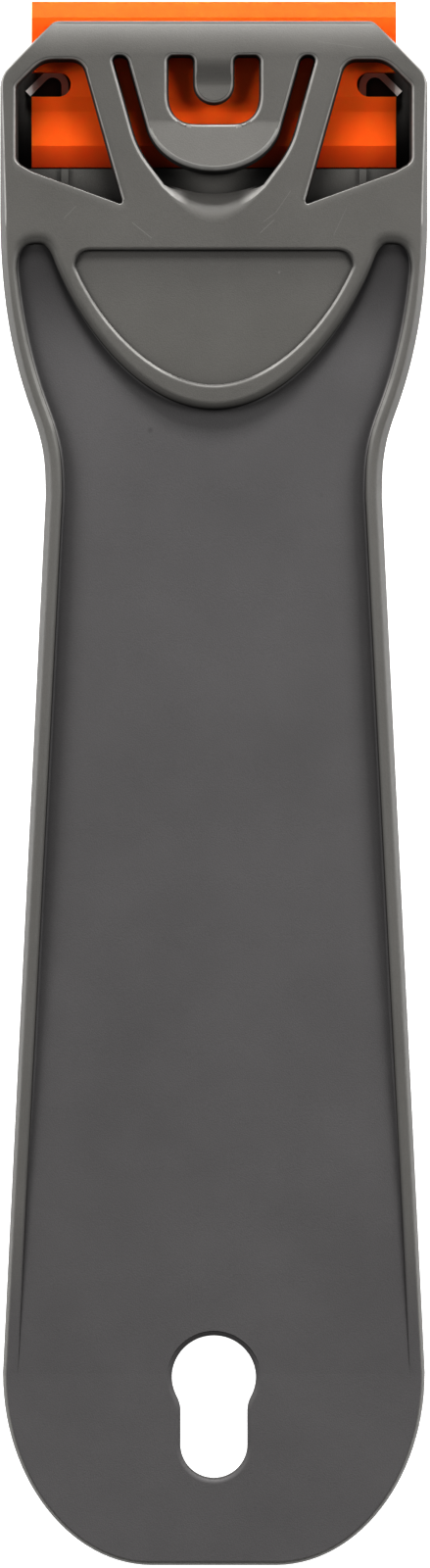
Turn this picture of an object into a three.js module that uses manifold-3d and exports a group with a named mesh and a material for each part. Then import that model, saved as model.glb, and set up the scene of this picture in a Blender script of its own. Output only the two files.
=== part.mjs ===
import * as THREE from 'three';
import { mergeVertices } from 'three/addons/utils/BufferGeometryUtils.js';
import Module from 'manifold-3d';

// Blade scraper: a moulded holder with a spring tongue and a detent tab in its head, and a
// double-edged plastic blade that slides into its mouth.
// Millimetres. X runs across the head, Y from the tail towards the blade, Z from back to front.
// The origin lies under the middle of the whole scraper, on the surface that it rests on.

const wasm = await Module();
wasm.setup();

// Blade
const bladeLength = 38.1; // along its cutting edges
const bladeHeight = 17.4; // from cutting edge to cutting edge
const padThickness = 1.4;
const spineRise = 0.3; // spine over the pads, on both faces
const spineCrown = 2.6; // flat top of the spine
const spineFoot = 5.7; // spine where it meets the pads
const bevelLength = 1.8;
const edgeThickness = 0.3;
const notchDepth = 4.1;
const notchHeight = 2.56;
const bladeReveal = 2.1; // working edge past the mouth

// Fits round the blade
const endGap = 1.4; // blade end to side wall
const seatGap = 0.25; // spine over the ribs
const coverGap = 0.35; // spine under the front plate
const stopGap = 0.3; // rear edge to the shelf behind it
const hingeGap = 0.3; // slit at the roots of the tongue and the tab

// Head
const backPlate = 1.6;
const frontPlate = 2.1;
const sideWall = 1.9;
const cornerChamfer = 5.7;
const lipLength = 3.45; // stretch that thins towards the mouth
const lipDrop = 1.0;
const soleDrop = 0.6;
const pocketRun = 4.75; // pocket behind the blade's rear edge
const pocketCorner = 1.0;
const ribHeight = 0.8;
const ribWidth = 0.75;
const hookRadius = 1.65;
const hookCover = 0.3; // hook bend past the notch
const hookLeg = 2.4;
const shelfRise = 0.6; // shelf over the blade's middle plane
const stopRise = 0.95; // low ribs on the shelf, over the same plane

// Tongue, tab, slots and scoop
const barHeight = 3.9; // mouth to the roots
const tongueInset = 11.27; // side of the pocket to the tongue's root
const sideLean = 0.28; // X per Y of the tongue's sides, the slots and the struts
const slotWidth = 1.33;
const slotRound = 0.65;
const tongueOverhang = 0.37; // tongue past the blade's rear edge
const tongueRound = 4.6; // length of its round end
const tongueNose = 3.6; // half width of the blunt part of the end
const liftRise = 1.75; // thumb lift at the tongue's end
const tabWindowWidth = 9.4;
const tabWindowHeight = 6.85;
const tabWindowRound = 3.0;
const tabWidth = 4.1;
const tabLength = 4.95;
const tabStep = 0.8; // tab below the front face
const tabSlope = 2.0; // length of the slope down to it
const scoopRun = 5.2; // tongue end to the scoop's rear edge
const scoopWidth = 8.0;
const scoopRound = 2.4;
const scoopBend = 2.5; // tongue end to the bend of the slots
const scoopAngle = 38; // degrees
const scoopRadius = 12;

// Side windows
const windowTop = 4.35; // mouth to window
const chamferBar = 2.2; // bar along the corner chamfer
const strutWidth = 3.4; // strut between slot and window
const windowTip = 3.65; // inner corner behind the blade's rear edge
const windowHeel = 0.65; // outer corner ahead of the rear edge
const heelRun = 1.55;
const heelDrop = 0.9;
const windowRound = 1.2;
const heelRound = 0.5;

// Handle
const holderLength = 161.4;
const headEndRun = 0.3; // straight sides end ahead of the pocket's end
const shoulderDrop = 21.1; // head end to the middle of the shoulder
const shoulderWidth = 38.0;
const neckDrop = 30.0; // head end to the neck
const neckWidth = 35.2;
const shoulderLean = 20.4; // degrees
const shoulderPull = 6.0;
const headPull = 8.9;
const neckPull = 3.6;
const tailWidth = 44.2;
const tailCorner = 20.15; // length of the tail's corners
const tailFlat = 13.0;
const tailThickness = 3.4;
const handleCrown = 1.6; // power of the curve that the handle thins by
const outerRound = 0.7;
const soleRound = 0.5;
const railWidth = 1.8;
const railTailWidth = 1.2;
const railRound = 0.8;
const frontRecess = 1.0; // at the head
const backRecess = 1.7;
const recessDrop = 3.6; // head end to the recess
const recessCorner = 0.9;

// Shield and badge
const channelWidth = 3.35; // between a rail and the shield
const shieldHeight = 17.0;
const shieldTaper = 3.6; // pull points of its sides, in from its top corners
const shieldSidePull = 9.3;
const shieldNosePull = 10.0; // pull points of its bottom, in from its top corners
const shieldRim = 2.7; // shield's edge to the badge
const badgeDrop = 4.3; // head end to badge
const badgeHeight = 14.0;
const badgeTaper = 2.8;
const badgeSidePull = 8.2;
const badgeNosePull = 8.7;
const badgeShoulder = 1.7; // straight start of the badge's sides
const badgeDepth = 0.5;
const badgeRound = 0.3;

// Keyhole
const holeRadius = 4.4;
const holeRise = 19.7; // tail to hole centre
const hangSlotWidth = 7.0;
const hangSlotRun = 7.1;
const holeEndAngle = 28; // degrees
const throatLength = 1.5;
const holeRound = 0.4;

// Modelling
const curveSteps = 10;
const lipSteps = 4;
const railSteps = 6;
const bowlSides = 80;
const cutMargin = 1;
const weldDistance = 1e-4;
const levelStep = 0.01; // least height between two levels of a cutter
const roundAngles = [0, Math.PI / 4, Math.PI / 2];

// Heights, from the back plate up
const pocketFloor = backPlate;
const ribTop = pocketFloor + ribHeight;
const bladeMiddleZ = ribTop + seatGap + spineRise + padThickness / 2;
const spineTop = bladeMiddleZ + padThickness / 2 + spineRise;
const pocketRoof = spineTop + coverGap;
const headTop = pocketRoof + frontPlate;
const shelfTop = bladeMiddleZ + shelfRise;
const stopTop = bladeMiddleZ + stopRise;

// Places along the scraper
const tailY = -(holderLength + bladeReveal) / 2;
const mouthY = tailY + holderLength;
const bladeFrontY = mouthY + bladeReveal;
const bladeMiddleY = bladeFrontY - bladeHeight / 2;
const bladeRearY = bladeFrontY - bladeHeight;
const shelfY = bladeRearY - stopGap;
const pocketEndY = bladeRearY - pocketRun;
const headEndY = pocketEndY + headEndRun;
const shoulderY = headEndY - shoulderDrop;
const neckY = headEndY - neckDrop;
const tailCornerY = tailY + tailCorner;
const recessTopY = headEndY - recessDrop;
const rootY = mouthY - barHeight;
const tongueEndY = bladeRearY - tongueOverhang;
const tabWindowEndY = rootY - tabWindowHeight;

// Places across it
const pocketHalf = bladeLength / 2 + endGap;
const headHalf = pocketHalf + sideWall;
const tongueHalf = pocketHalf - tongueInset;
const shieldHalf = headHalf - railWidth - channelWidth;
const badgeHalf = shieldHalf - shieldRim;

// Closed geometry as a solid, on its own side of the middle plane or, with side -1, on the other.
function toSolid(geometry, side = 1) {
  geometry.deleteAttribute('normal');
  geometry.deleteAttribute('uv');
  geometry.scale(side, 1, 1);
  const merged = mergeVertices(geometry, weldDistance);
  const triVerts = new Uint32Array(merged.index.array);
  if (side < 0) {
    triVerts.reverse();
  }
  const vertProperties = new Float32Array(merged.attributes.position.array);
  return new wasm.Manifold(new wasm.Mesh({ numProp: 3, vertProperties, triVerts }));
}

function bothSides(make) {
  return make(1).add(make(-1));
}

// Plan outline raised from one height to another.
function plate(shape, low, high, side = 1) {
  const options = { depth: high - low, bevelEnabled: false, curveSegments: curveSteps };
  const geometry = new THREE.ExtrudeGeometry(shape, options);
  geometry.translate(0, 0, low);
  return toSolid(geometry, side);
}

// Side profile, drawn as Y and Z, swept across X.
function beam(profile, width) {
  const options = { depth: width, bevelEnabled: false, curveSegments: curveSteps };
  const geometry = new THREE.ExtrudeGeometry(profile, options);
  const alongX = new THREE.Matrix4().makeBasis(
    new THREE.Vector3(0, 1, 0),
    new THREE.Vector3(0, 0, 1),
    new THREE.Vector3(1, 0, 0),
  );
  geometry.applyMatrix4(alongX);
  geometry.translate(-width / 2, 0, 0);
  return toSolid(geometry);
}

function outline(points) {
  return new THREE.Shape(points.map(([x, y]) => new THREE.Vector2(x, y)));
}

// Outline from corners given as x, y and how far the rounding reaches along both edges.
function roundedOutline(corners) {
  const shape = new THREE.Shape();
  corners.forEach(([x, y, reach], i) => {
    const corner = new THREE.Vector2(x, y);
    const before = new THREE.Vector2(...corners[(i + corners.length - 1) % corners.length]);
    const after = new THREE.Vector2(...corners[(i + 1) % corners.length]);
    const start = before.sub(corner).setLength(reach).add(corner);
    const end = after.sub(corner).setLength(reach).add(corner);
    if (i === 0) {
      shape.moveTo(start.x, start.y);
    } else {
      shape.lineTo(start.x, start.y);
    }
    shape.quadraticCurveTo(x, y, end.x, end.y);
  });
  shape.closePath();
  return shape;
}

function mirrored(points) {
  return points.map((point) => new THREE.Vector2(-point.x, point.y)).reverse();
}

function outwardNormal(from, to) {
  return new THREE.Vector2(to.y - from.y, from.x - to.x).normalize();
}

// Closed anticlockwise loop, moved outwards by a distance that may depend on the place.
function grown(loop, distanceAt) {
  return loop.map((point, i) => {
    const before = outwardNormal(loop[(i + loop.length - 1) % loop.length], point);
    const after = outwardNormal(point, loop[(i + 1) % loop.length]);
    const share = distanceAt(point.y) / (1 + before.dot(after));
    return point.clone().addScaledVector(before.add(after), share);
  });
}

// Skin through copies of one loop, each grown by an amount and laid on a height, from low to high.
function loft(loop, levels, capFaces) {
  const count = loop.length;
  const position = [];
  for (const { growth, height } of levels) {
    for (const point of grown(loop, growth)) {
      position.push(point.x, point.y, height(point.y));
    }
  }
  const index = [];
  const topStart = (levels.length - 1) * count;
  for (const [a, b, c] of capFaces) {
    index.push(a, c, b);
    index.push(topStart + a, topStart + b, topStart + c);
  }
  for (let level = 0; level < levels.length - 1; level++) {
    for (let i = 0; i < count; i++) {
      const next = (i + 1) % count;
      const low = level * count;
      const high = low + count;
      index.push(low + i, low + next, high + next);
      index.push(low + i, high + next, high + i);
    }
  }
  const geometry = new THREE.BufferGeometry();
  geometry.setAttribute('position', new THREE.Float32BufferAttribute(position, 3));
  geometry.setIndex(index);
  return toSolid(geometry);
}

// Cutter from a floor out through a face, whose rim there is rounded as far as the depth allows.
// Heights are counted along the way that the face looks: 1 for the front, -1 for the back.
function roundedCut(loop, floor, face, round, facing) {
  const reach = (y) => Math.min(round, Math.max(face(y) - floor(y), 0));
  const levels = [{ growth: () => 0, height: floor }];
  roundAngles.forEach((angle, i) => {
    const lowest = (i + 1) * levelStep;
    levels.push({
      growth: (y) => reach(y) * (1 - Math.cos(angle)),
      height: (y) => Math.max(floor(y) + lowest, face(y) - reach(y) * (1 - Math.sin(angle))),
    });
  });
  levels.push({ growth: reach, height: () => headTop + cutMargin });
  const placed = levels.map(({ growth, height }) => ({ growth, height: (y) => facing * height(y) }));
  if (facing < 0) {
    placed.reverse();
  }
  return loft(loop, placed, THREE.ShapeUtils.triangulateShape(loop, []));
}

function loopOf(shape) {
  const points = shape.getPoints(curveSteps);
  if (points[0].distanceTo(points[points.length - 1]) < weldDistance) {
    points.pop();
  }
  return THREE.ShapeUtils.isClockWise(points) ? points.reverse() : points;
}

// Share of the way from a start to an end, held between 0 and 1.
function shareOf(value, start, end) {
  return THREE.MathUtils.clamp((value - start) / (end - start), 0, 1);
}

function lipShare(y) {
  return shareOf(y, mouthY - lipLength, mouthY) ** 2;
}

// Front face: level over the head, thinner along the handle, rounded down to the mouth.
function frontHeight(y) {
  const thinning = shareOf(y, shoulderY, tailCornerY) ** handleCrown;
  return THREE.MathUtils.lerp(headTop, tailThickness, thinning) - lipDrop * lipShare(y);
}

function backHeight(y) {
  return soleDrop * lipShare(y);
}

// Both faces of the web between the rails, level with the rails at the tail.
function webFront(y) {
  const share = shareOf(y, recessTopY, tailCornerY);
  return THREE.MathUtils.lerp(headTop - frontRecess, tailThickness, share);
}

function webBack(y) {
  return THREE.MathUtils.lerp(backRecess, 0, shareOf(y, recessTopY, tailCornerY));
}

// Right-hand edge of the holder, from the tail's flat up to the mouth.
function holderSide() {
  const lean = THREE.MathUtils.degToRad(shoulderLean);
  const leanX = Math.sin(lean);
  const leanY = Math.cos(lean);
  const shoulderHalf = shoulderWidth / 2;
  const bezierPull = 0.55; // nearly a quarter ellipse
  const cornerRun = (tailWidth - tailFlat) / 2;
  const side = new THREE.Path();
  side.moveTo(tailFlat / 2, tailY);
  side.bezierCurveTo(
    tailFlat / 2 + cornerRun * bezierPull, tailY,
    tailWidth / 2, tailCornerY - tailCorner * bezierPull,
    tailWidth / 2, tailCornerY,
  );
  for (let step = 1; step <= railSteps; step++) {
    const share = step / railSteps;
    side.lineTo(
      THREE.MathUtils.lerp(tailWidth, neckWidth, share) / 2,
      THREE.MathUtils.lerp(tailCornerY, neckY, share),
    );
  }
  side.bezierCurveTo(
    neckWidth / 2, neckY + neckPull,
    shoulderHalf - leanX * neckPull, shoulderY - leanY * neckPull,
    shoulderHalf, shoulderY,
  );
  side.bezierCurveTo(
    shoulderHalf + leanX * shoulderPull, shoulderY + leanY * shoulderPull,
    headHalf, headEndY - headPull,
    headHalf, headEndY,
  );
  const points = side.getPoints(curveSteps);
  const chamferY = mouthY - cornerChamfer;
  const stations = [chamferY, mouthY];
  for (let step = 0; step < lipSteps; step++) {
    stations.push(mouthY - lipLength * (1 - step / lipSteps));
  }
  for (const y of stations.sort((a, b) => a - b)) {
    points.push(new THREE.Vector2(headHalf - Math.max(y - chamferY, 0), y));
  }
  return points;
}

// Solid holder with rounded edges, capped by rungs from side to side.
function holderBlank() {
  const right = holderSide();
  const loop = [...right, ...mirrored(right)];
  const last = loop.length - 1;
  const rungs = [];
  for (let i = 0; i < right.length - 1; i++) {
    rungs.push([i, i + 1, last - i - 1], [i, last - i - 1, last - i]);
  }
  const levels = [];
  for (const angle of [...roundAngles].reverse()) {
    levels.push({
      growth: () => -soleRound * (1 - Math.cos(angle)),
      height: (y) => backHeight(y) + soleRound * (1 - Math.sin(angle)),
    });
  }
  for (const angle of roundAngles) {
    levels.push({
      growth: () => -outerRound * (1 - Math.cos(angle)),
      height: (y) => frontHeight(y) - outerRound * (1 - Math.sin(angle)),
    });
  }
  return loft(loop, levels, rungs);
}

function railInnerEdge() {
  const inner = [];
  for (const point of holderSide()) {
    const width = THREE.MathUtils.lerp(railWidth, railTailWidth, shareOf(point.y, neckY, tailCornerY));
    if (point.y >= tailCornerY && point.y < recessTopY - recessCorner) {
      inner.push(new THREE.Vector2(point.x - width, point.y));
    }
  }
  return inner;
}

// Front recess of the handle, which runs up both sides of the shield.
function frontRecessCut() {
  const right = railInnerEdge();
  const top = right[right.length - 1];
  const shieldBottomY = recessTopY - shieldHeight;
  const path = new THREE.Path(right);
  path.quadraticCurveTo(top.x, recessTopY, top.x - recessCorner, recessTopY);
  path.lineTo(shieldHalf + recessCorner / 2, recessTopY);
  path.quadraticCurveTo(shieldHalf, recessTopY, shieldHalf - sideLean, recessTopY - recessCorner);
  path.bezierCurveTo(
    shieldHalf - shieldTaper, recessTopY - shieldSidePull,
    shieldHalf - shieldNosePull, shieldBottomY,
    0, shieldBottomY,
  );
  const half = path.getPoints(curveSteps);
  const loop = [...half, ...mirrored(half).slice(1)];
  return roundedCut(loop, webFront, frontHeight, railRound, 1);
}

function backRecessCut() {
  const right = railInnerEdge();
  const top = right[right.length - 1];
  const path = new THREE.Path(right);
  path.quadraticCurveTo(top.x, recessTopY, top.x - recessCorner, recessTopY);
  const half = path.getPoints(curveSteps);
  const loop = [...half, ...mirrored(half)];
  return roundedCut(loop, (y) => -webBack(y), () => 0, railRound, -1);
}

function badgeCut() {
  const topY = headEndY - badgeDrop;
  const half = badgeHalf;
  const side = half - badgeTaper;
  const nose = half - badgeNosePull;
  const sideY = topY - badgeShoulder;
  const pullY = topY - badgeSidePull;
  const bottomY = topY - badgeHeight;
  const shape = new THREE.Shape();
  shape.moveTo(half - badgeShoulder, topY);
  shape.lineTo(badgeShoulder - half, topY);
  shape.quadraticCurveTo(-half, topY, -half, sideY);
  shape.bezierCurveTo(-side, pullY, -nose, bottomY, 0, bottomY);
  shape.bezierCurveTo(nose, bottomY, side, pullY, half, sideY);
  shape.quadraticCurveTo(half, topY, half - badgeShoulder, topY);
  return roundedCut(loopOf(shape), () => headTop - badgeDepth, () => headTop, badgeRound, 1);
}

function keyholeCut() {
  const holeY = tailY + holeRise;
  const slotEndY = holeY - hangSlotRun;
  const slotHalf = hangSlotWidth / 2;
  const endAngle = THREE.MathUtils.degToRad(holeEndAngle);
  const throatY = holeY - holeRadius * Math.sin(endAngle);
  const shape = new THREE.Shape();
  shape.absarc(0, slotEndY, slotHalf, Math.PI, 2 * Math.PI, false);
  shape.lineTo(slotHalf, throatY - throatLength);
  shape.quadraticCurveTo(
    slotHalf, throatY - throatLength / 2,
    holeRadius * Math.cos(endAngle), throatY,
  );
  shape.absarc(0, holeY, holeRadius, -endAngle, Math.PI + endAngle, false);
  shape.quadraticCurveTo(-slotHalf, throatY - throatLength / 2, -slotHalf, throatY - throatLength);
  const loop = loopOf(shape);
  const middle = tailThickness / 2;
  const fromFront = roundedCut(loop, () => middle, () => tailThickness, holeRound, 1);
  const fromBack = roundedCut(loop, () => -middle, () => 0, holeRound, -1);
  return fromFront.add(fromBack);
}

// Pocket for the blade, and the space over the shelf that the blade's rear edge stops at.
function pocketCut() {
  const from = (endY) => roundedOutline([
    [pocketHalf, endY, pocketCorner],
    [pocketHalf, bladeFrontY, 0],
    [-pocketHalf, bladeFrontY, 0],
    [-pocketHalf, endY, pocketCorner],
  ]);
  return plate(from(shelfY), pocketFloor, pocketRoof).add(plate(from(pocketEndY), shelfTop, pocketRoof));
}

// Outer edge of the slots beside the tongue.
function slotEdge(y) {
  return tongueHalf + slotWidth - sideLean * (rootY - y);
}

function windowCut(side) {
  const topY = mouthY - windowTop;
  const tipY = bladeRearY - windowTip;
  const heelY = bladeRearY + windowHeel;
  const diagonal = headHalf + mouthY - cornerChamfer - chamferBar * Math.SQRT2;
  return plate(roundedOutline([
    [pocketHalf, heelY, heelRound],
    [pocketHalf, diagonal - pocketHalf, 0],
    [diagonal - topY, topY, windowRound],
    [slotEdge(topY) + strutWidth, topY, windowRound],
    [slotEdge(tipY) + strutWidth, tipY, 0],
    [pocketHalf - heelRun, heelY - heelDrop, heelRound],
  ]), pocketRoof - cutMargin, headTop + cutMargin, side);
}

// Opening round the tongue and the tab, with the thumb scoop sloping down to it.
function tongueOpening() {
  const scoopY = tongueEndY - scoopRun;
  const sideY = scoopY + scoopRound;
  const bendY = tongueEndY + scoopBend;
  const sideHalf = scoopWidth / 2;
  const roundHalf = sideHalf - scoopRound * sideHalf / (bendY - sideY + scoopRound);
  const topHalf = slotEdge(rootY);
  const shape = new THREE.Shape();
  shape.moveTo(0, scoopY);
  shape.quadraticCurveTo(roundHalf, scoopY, sideHalf, sideY);
  shape.lineTo(slotEdge(bendY), bendY);
  shape.lineTo(topHalf - sideLean * slotRound, rootY - slotRound);
  shape.quadraticCurveTo(topHalf, rootY, topHalf - slotRound, rootY);
  shape.lineTo(slotRound - topHalf, rootY);
  shape.quadraticCurveTo(-topHalf, rootY, sideLean * slotRound - topHalf, rootY - slotRound);
  shape.lineTo(-slotEdge(bendY), bendY);
  shape.lineTo(-sideHalf, sideY);
  shape.quadraticCurveTo(-roundHalf, scoopY, 0, scoopY);
  const open = plate(shape, pocketRoof - cutMargin, headTop + cutMargin);

  const slope = THREE.MathUtils.degToRad(scoopAngle);
  const bowlLength = 4 * scoopRadius; // longer than the opening at any slope
  const bowl = new THREE.CylinderGeometry(scoopRadius, scoopRadius, bowlLength, bowlSides);
  bowl.translate(0, 0, scoopRadius);
  bowl.rotateX(-slope);
  bowl.translate(0, scoopY, headTop);
  const beyond = plate(outline([
    [topHalf, bendY],
    [topHalf, mouthY],
    [-topHalf, mouthY],
    [-topHalf, bendY],
  ]), pocketRoof - cutMargin, headTop + cutMargin);
  return open.intersect(toSolid(bowl).add(beyond));
}

// Hooked rib beside the end of the blade's spine, with the low rib on the shelf in line with it.
function seatRib(side) {
  const inner = bladeLength / 2 - notchDepth + seatGap;
  const centreX = inner + hookRadius;
  const centreY = bladeMiddleY + notchHeight / 2 + hookCover - hookRadius;
  const bendRadius = hookRadius - ribWidth;
  const legX = hookLeg * Math.SQRT1_2;
  const bend = Math.PI / 4;
  const rootEndY = pocketEndY - pocketCorner;
  const hook = new THREE.Shape();
  hook.moveTo(inner, rootEndY);
  hook.absarc(centreX, centreY, hookRadius, Math.PI, bend, true);
  hook.lineTo(centreX + hookRadius * Math.SQRT1_2 + legX, centreY + hookRadius * Math.SQRT1_2 - legX);
  hook.lineTo(centreX + bendRadius * Math.SQRT1_2 + legX, centreY + bendRadius * Math.SQRT1_2 - legX);
  hook.absarc(centreX, centreY, bendRadius, bend, Math.PI, false);
  hook.lineTo(inner + ribWidth, rootEndY);
  const stop = outline([
    [inner, rootEndY],
    [inner + ribWidth, rootEndY],
    [inner + ribWidth, shelfY],
    [inner, shelfY],
  ]);
  const base = pocketFloor / 2;
  return plate(hook, base, ribTop, side).add(plate(stop, base, stopTop, side));
}

function holderSolid() {
  return holderBlank()
    .subtract(pocketCut())
    .subtract(bothSides(windowCut))
    .subtract(tongueOpening())
    .subtract(frontRecessCut())
    .subtract(backRecessCut())
    .subtract(badgeCut())
    .subtract(keyholeCut())
    .add(bothSides(seatRib));
}

// Tongue on two legs, with a lift at its end for the thumb.
function tongueSolid() {
  const topY = rootY - hingeGap;
  const roundY = tongueEndY + tongueRound;
  const halfAt = (y) => tongueHalf - sideLean * (rootY - y);
  const windowHalf = tabWindowWidth / 2;
  const pullY = roundY - tongueRound / 2;
  const shape = new THREE.Shape();
  shape.moveTo(windowHalf, topY);
  shape.lineTo(windowHalf, tabWindowEndY + tabWindowRound);
  shape.quadraticCurveTo(windowHalf, tabWindowEndY, windowHalf - tabWindowRound, tabWindowEndY);
  shape.lineTo(tabWindowRound - windowHalf, tabWindowEndY);
  shape.quadraticCurveTo(-windowHalf, tabWindowEndY, -windowHalf, tabWindowEndY + tabWindowRound);
  shape.lineTo(-windowHalf, topY);
  shape.lineTo(-halfAt(topY), topY);
  shape.lineTo(-halfAt(roundY), roundY);
  shape.bezierCurveTo(-halfAt(pullY), pullY, -tongueNose, tongueEndY, 0, tongueEndY);
  shape.bezierCurveTo(tongueNose, tongueEndY, halfAt(pullY), pullY, halfAt(roundY), roundY);
  shape.lineTo(halfAt(topY), topY);
  const liftSlope = liftRise / (tabWindowEndY - tongueEndY);
  const pastEnd = tongueEndY - cutMargin;
  const profile = outline([
    [pastEnd, pocketRoof],
    [rootY, pocketRoof],
    [rootY, headTop],
    [tabWindowEndY, headTop],
    [pastEnd, headTop + liftSlope * (tabWindowEndY - pastEnd)],
  ]);
  const top = headTop + liftRise + cutMargin;
  return plate(shape, pocketRoof - cutMargin, top).intersect(beam(profile, 4 * tongueHalf));
}

// Round-ended finger that steps down towards the blade's spine.
function tabSolid() {
  const half = tabWidth / 2;
  const topY = rootY - hingeGap;
  const endY = rootY - tabLength;
  const shape = new THREE.Shape();
  shape.moveTo(half, topY);
  shape.lineTo(-half, topY);
  shape.absarc(0, endY + half, half, Math.PI, 2 * Math.PI, false);
  const profile = outline([
    [endY - cutMargin, pocketRoof],
    [rootY, pocketRoof],
    [rootY, headTop],
    [rootY - tabSlope, headTop - tabStep],
    [endY - cutMargin, headTop - tabStep],
  ]);
  const flat = plate(shape, pocketRoof - cutMargin, headTop + cutMargin);
  return flat.intersect(beam(profile, 2 * tabWidth));
}

// Double-edged blade: spine, pads and bevels alike on both faces, with a notch in each end.
function bladeSolid() {
  const half = bladeHeight / 2;
  const pad = padThickness / 2;
  const edge = edgeThickness / 2;
  const spine = pad + spineRise;
  const quarter = [
    [half, edge],
    [half - bevelLength, pad],
    [spineFoot / 2, pad],
    [spineCrown / 2, spine],
  ];
  const upper = [...quarter, ...quarter.map(([y, z]) => [-y, z]).reverse()];
  const lower = upper.map(([y, z]) => [y, -z]).reverse();
  const section = outline([...upper, ...lower].map(([y, z]) => [bladeMiddleY + y, bladeMiddleZ + z]));
  const nose = notchHeight / 2;
  const endX = bladeLength / 2;
  const noseX = endX - notchDepth + nose;
  const notch = new THREE.Shape();
  notch.moveTo(endX + cutMargin, bladeMiddleY + nose);
  notch.absarc(noseX, bladeMiddleY, nose, Math.PI / 2, 1.5 * Math.PI, false);
  notch.lineTo(endX + cutMargin, bladeMiddleY - nose);
  const reach = spine + cutMargin;
  const notchCut = (side) => plate(notch, bladeMiddleZ - reach, bladeMiddleZ + reach, side);
  return beam(section, bladeLength).subtract(bothSides(notchCut));
}

function named(name, solid, material) {
  const { vertProperties, triVerts } = solid.getMesh();
  const geometry = new THREE.BufferGeometry();
  geometry.setAttribute('position', new THREE.BufferAttribute(vertProperties, 3));
  geometry.setIndex(new THREE.BufferAttribute(triVerts, 1));
  geometry.computeVertexNormals();
  const mesh = new THREE.Mesh(geometry, material);
  mesh.name = name;
  return mesh;
}

const greyPlastic = new THREE.MeshStandardMaterial({ color: 0x5d5c58, roughness: 0.55, metalness: 0 });
const orangePlastic = new THREE.MeshStandardMaterial({ color: 0xff5f10, roughness: 0.4, metalness: 0 });

const scraper = new THREE.Group();
scraper.name = 'blade_scraper';
scraper.add(
  named('holder', holderSolid(), greyPlastic),
  named('release_tongue', tongueSolid(), greyPlastic),
  named('detent_tab', tabSolid(), greyPlastic),
  named('blade', bladeSolid(), orangePlastic),
);

export default scraper;
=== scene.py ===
import math

import bmesh
import bpy
from mathutils import Matrix, Vector


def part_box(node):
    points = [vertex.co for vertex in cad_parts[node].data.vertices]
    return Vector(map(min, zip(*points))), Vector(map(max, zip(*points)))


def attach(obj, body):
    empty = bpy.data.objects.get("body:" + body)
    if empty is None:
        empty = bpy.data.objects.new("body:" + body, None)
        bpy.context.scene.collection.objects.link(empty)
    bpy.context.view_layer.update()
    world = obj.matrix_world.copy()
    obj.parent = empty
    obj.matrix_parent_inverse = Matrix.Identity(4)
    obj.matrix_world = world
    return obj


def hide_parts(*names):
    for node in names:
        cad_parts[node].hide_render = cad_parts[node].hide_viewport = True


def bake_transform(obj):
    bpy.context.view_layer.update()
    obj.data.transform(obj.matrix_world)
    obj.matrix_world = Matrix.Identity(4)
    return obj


# Blade scraper: a moulded grey holder with a spring tongue and a detent tab in its head, and an
# orange plastic blade. Shapes are worked out in millimetres and end as meshes in metres.
# X runs across the head, Y from the tail to the blade, Z from back to front.

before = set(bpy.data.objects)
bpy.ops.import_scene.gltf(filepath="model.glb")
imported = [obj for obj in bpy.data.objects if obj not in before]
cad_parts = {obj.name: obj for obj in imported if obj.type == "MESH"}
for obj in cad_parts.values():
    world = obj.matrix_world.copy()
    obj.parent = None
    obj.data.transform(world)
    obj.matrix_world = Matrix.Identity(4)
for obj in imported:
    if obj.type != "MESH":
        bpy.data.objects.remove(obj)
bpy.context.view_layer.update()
mm = 0.001
print("frame loaded:", ", ".join(sorted(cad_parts)))


def boxOf(node):
    low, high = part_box(node)
    return low / mm, high / mm


holderLow, holderHigh = boxOf("holder")
tongueLow, tongueHigh = boxOf("release_tongue")
tabLow = boxOf("detent_tab")[0]
bladeLow, bladeHigh = boxOf("blade")

tailY = holderLow.y
mouthY = holderHigh.y
headHalf = holderHigh.x
headTop = holderHigh.z
plateUnder = tongueLow.z  # underside of the front plate, and roof of the blade's pocket
cutFloor = plateUnder - 0.2  # cuts through the front plate end here, inside the pocket
bladeMiddle = (bladeLow + bladeHigh) / 2


# Plan curves, as lists of (x, y)

def lerp(a, b, share):
    return a + (b - a) * share


def shareOf(value, start, end):
    return min(max((value - start) / (end - start), 0.0), 1.0)


# One value for each point, from a list of them or from a single number.
def spread(given, count):
    return given if isinstance(given, list) else [given] * count


# Curve from the first spot to the last, drawn towards those between, without its first point.
def curveRun(steps, *spots):
    run = []
    for i in range(1, steps + 1):
        level = spots
        while len(level) > 1:
            pairs = zip(level, level[1:])
            level = [tuple(lerp(*ends, i / steps) for ends in zip(a, b)) for a, b in pairs]
        run.append(level[0])
    return run


def arcRun(centre, radius, start, end, steps):
    run = []
    for i in range(steps + 1):
        angle = lerp(start, end, i / steps)
        run.append((centre[0] + radius * math.cos(angle), centre[1] + radius * math.sin(angle)))
    return run


# Corners are x, y and how far the rounding reaches along both edges.
def roundedRun(corners, closed=True, steps=8):
    run = []
    count = len(corners)
    for i, (x, y, reach) in enumerate(corners):
        atEnd = not closed and i in (0, count - 1)
        if reach == 0 or atEnd:
            run.append((x, y))
            continue
        corner = Vector((x, y))
        before = Vector(corners[i - 1][:2]) - corner
        after = Vector(corners[(i + 1) % count][:2]) - corner
        start = corner + before.normalized() * reach
        end = corner + after.normalized() * reach
        run.append(tuple(start))
        run += curveRun(steps, tuple(start), (x, y), tuple(end))
    return run


def mirrorRun(points):
    return [(-x, y) for x, y in reversed(points)]


stationGap = 0.01  # least distance of an added point from its neighbours


# Points added where the run crosses the given heights on the page.
def withStations(points, stations):
    run = [points[0]]
    for a, b in zip(points, points[1:]):
        low, high = sorted((a[1], b[1]))
        inside = [y for y in stations if low + stationGap < y < high - stationGap]
        for y in sorted(inside, reverse=a[1] > b[1]):
            run.append((lerp(a[0], b[0], (y - a[1]) / (b[1] - a[1])), y))
        run.append(b)
    return run


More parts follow.
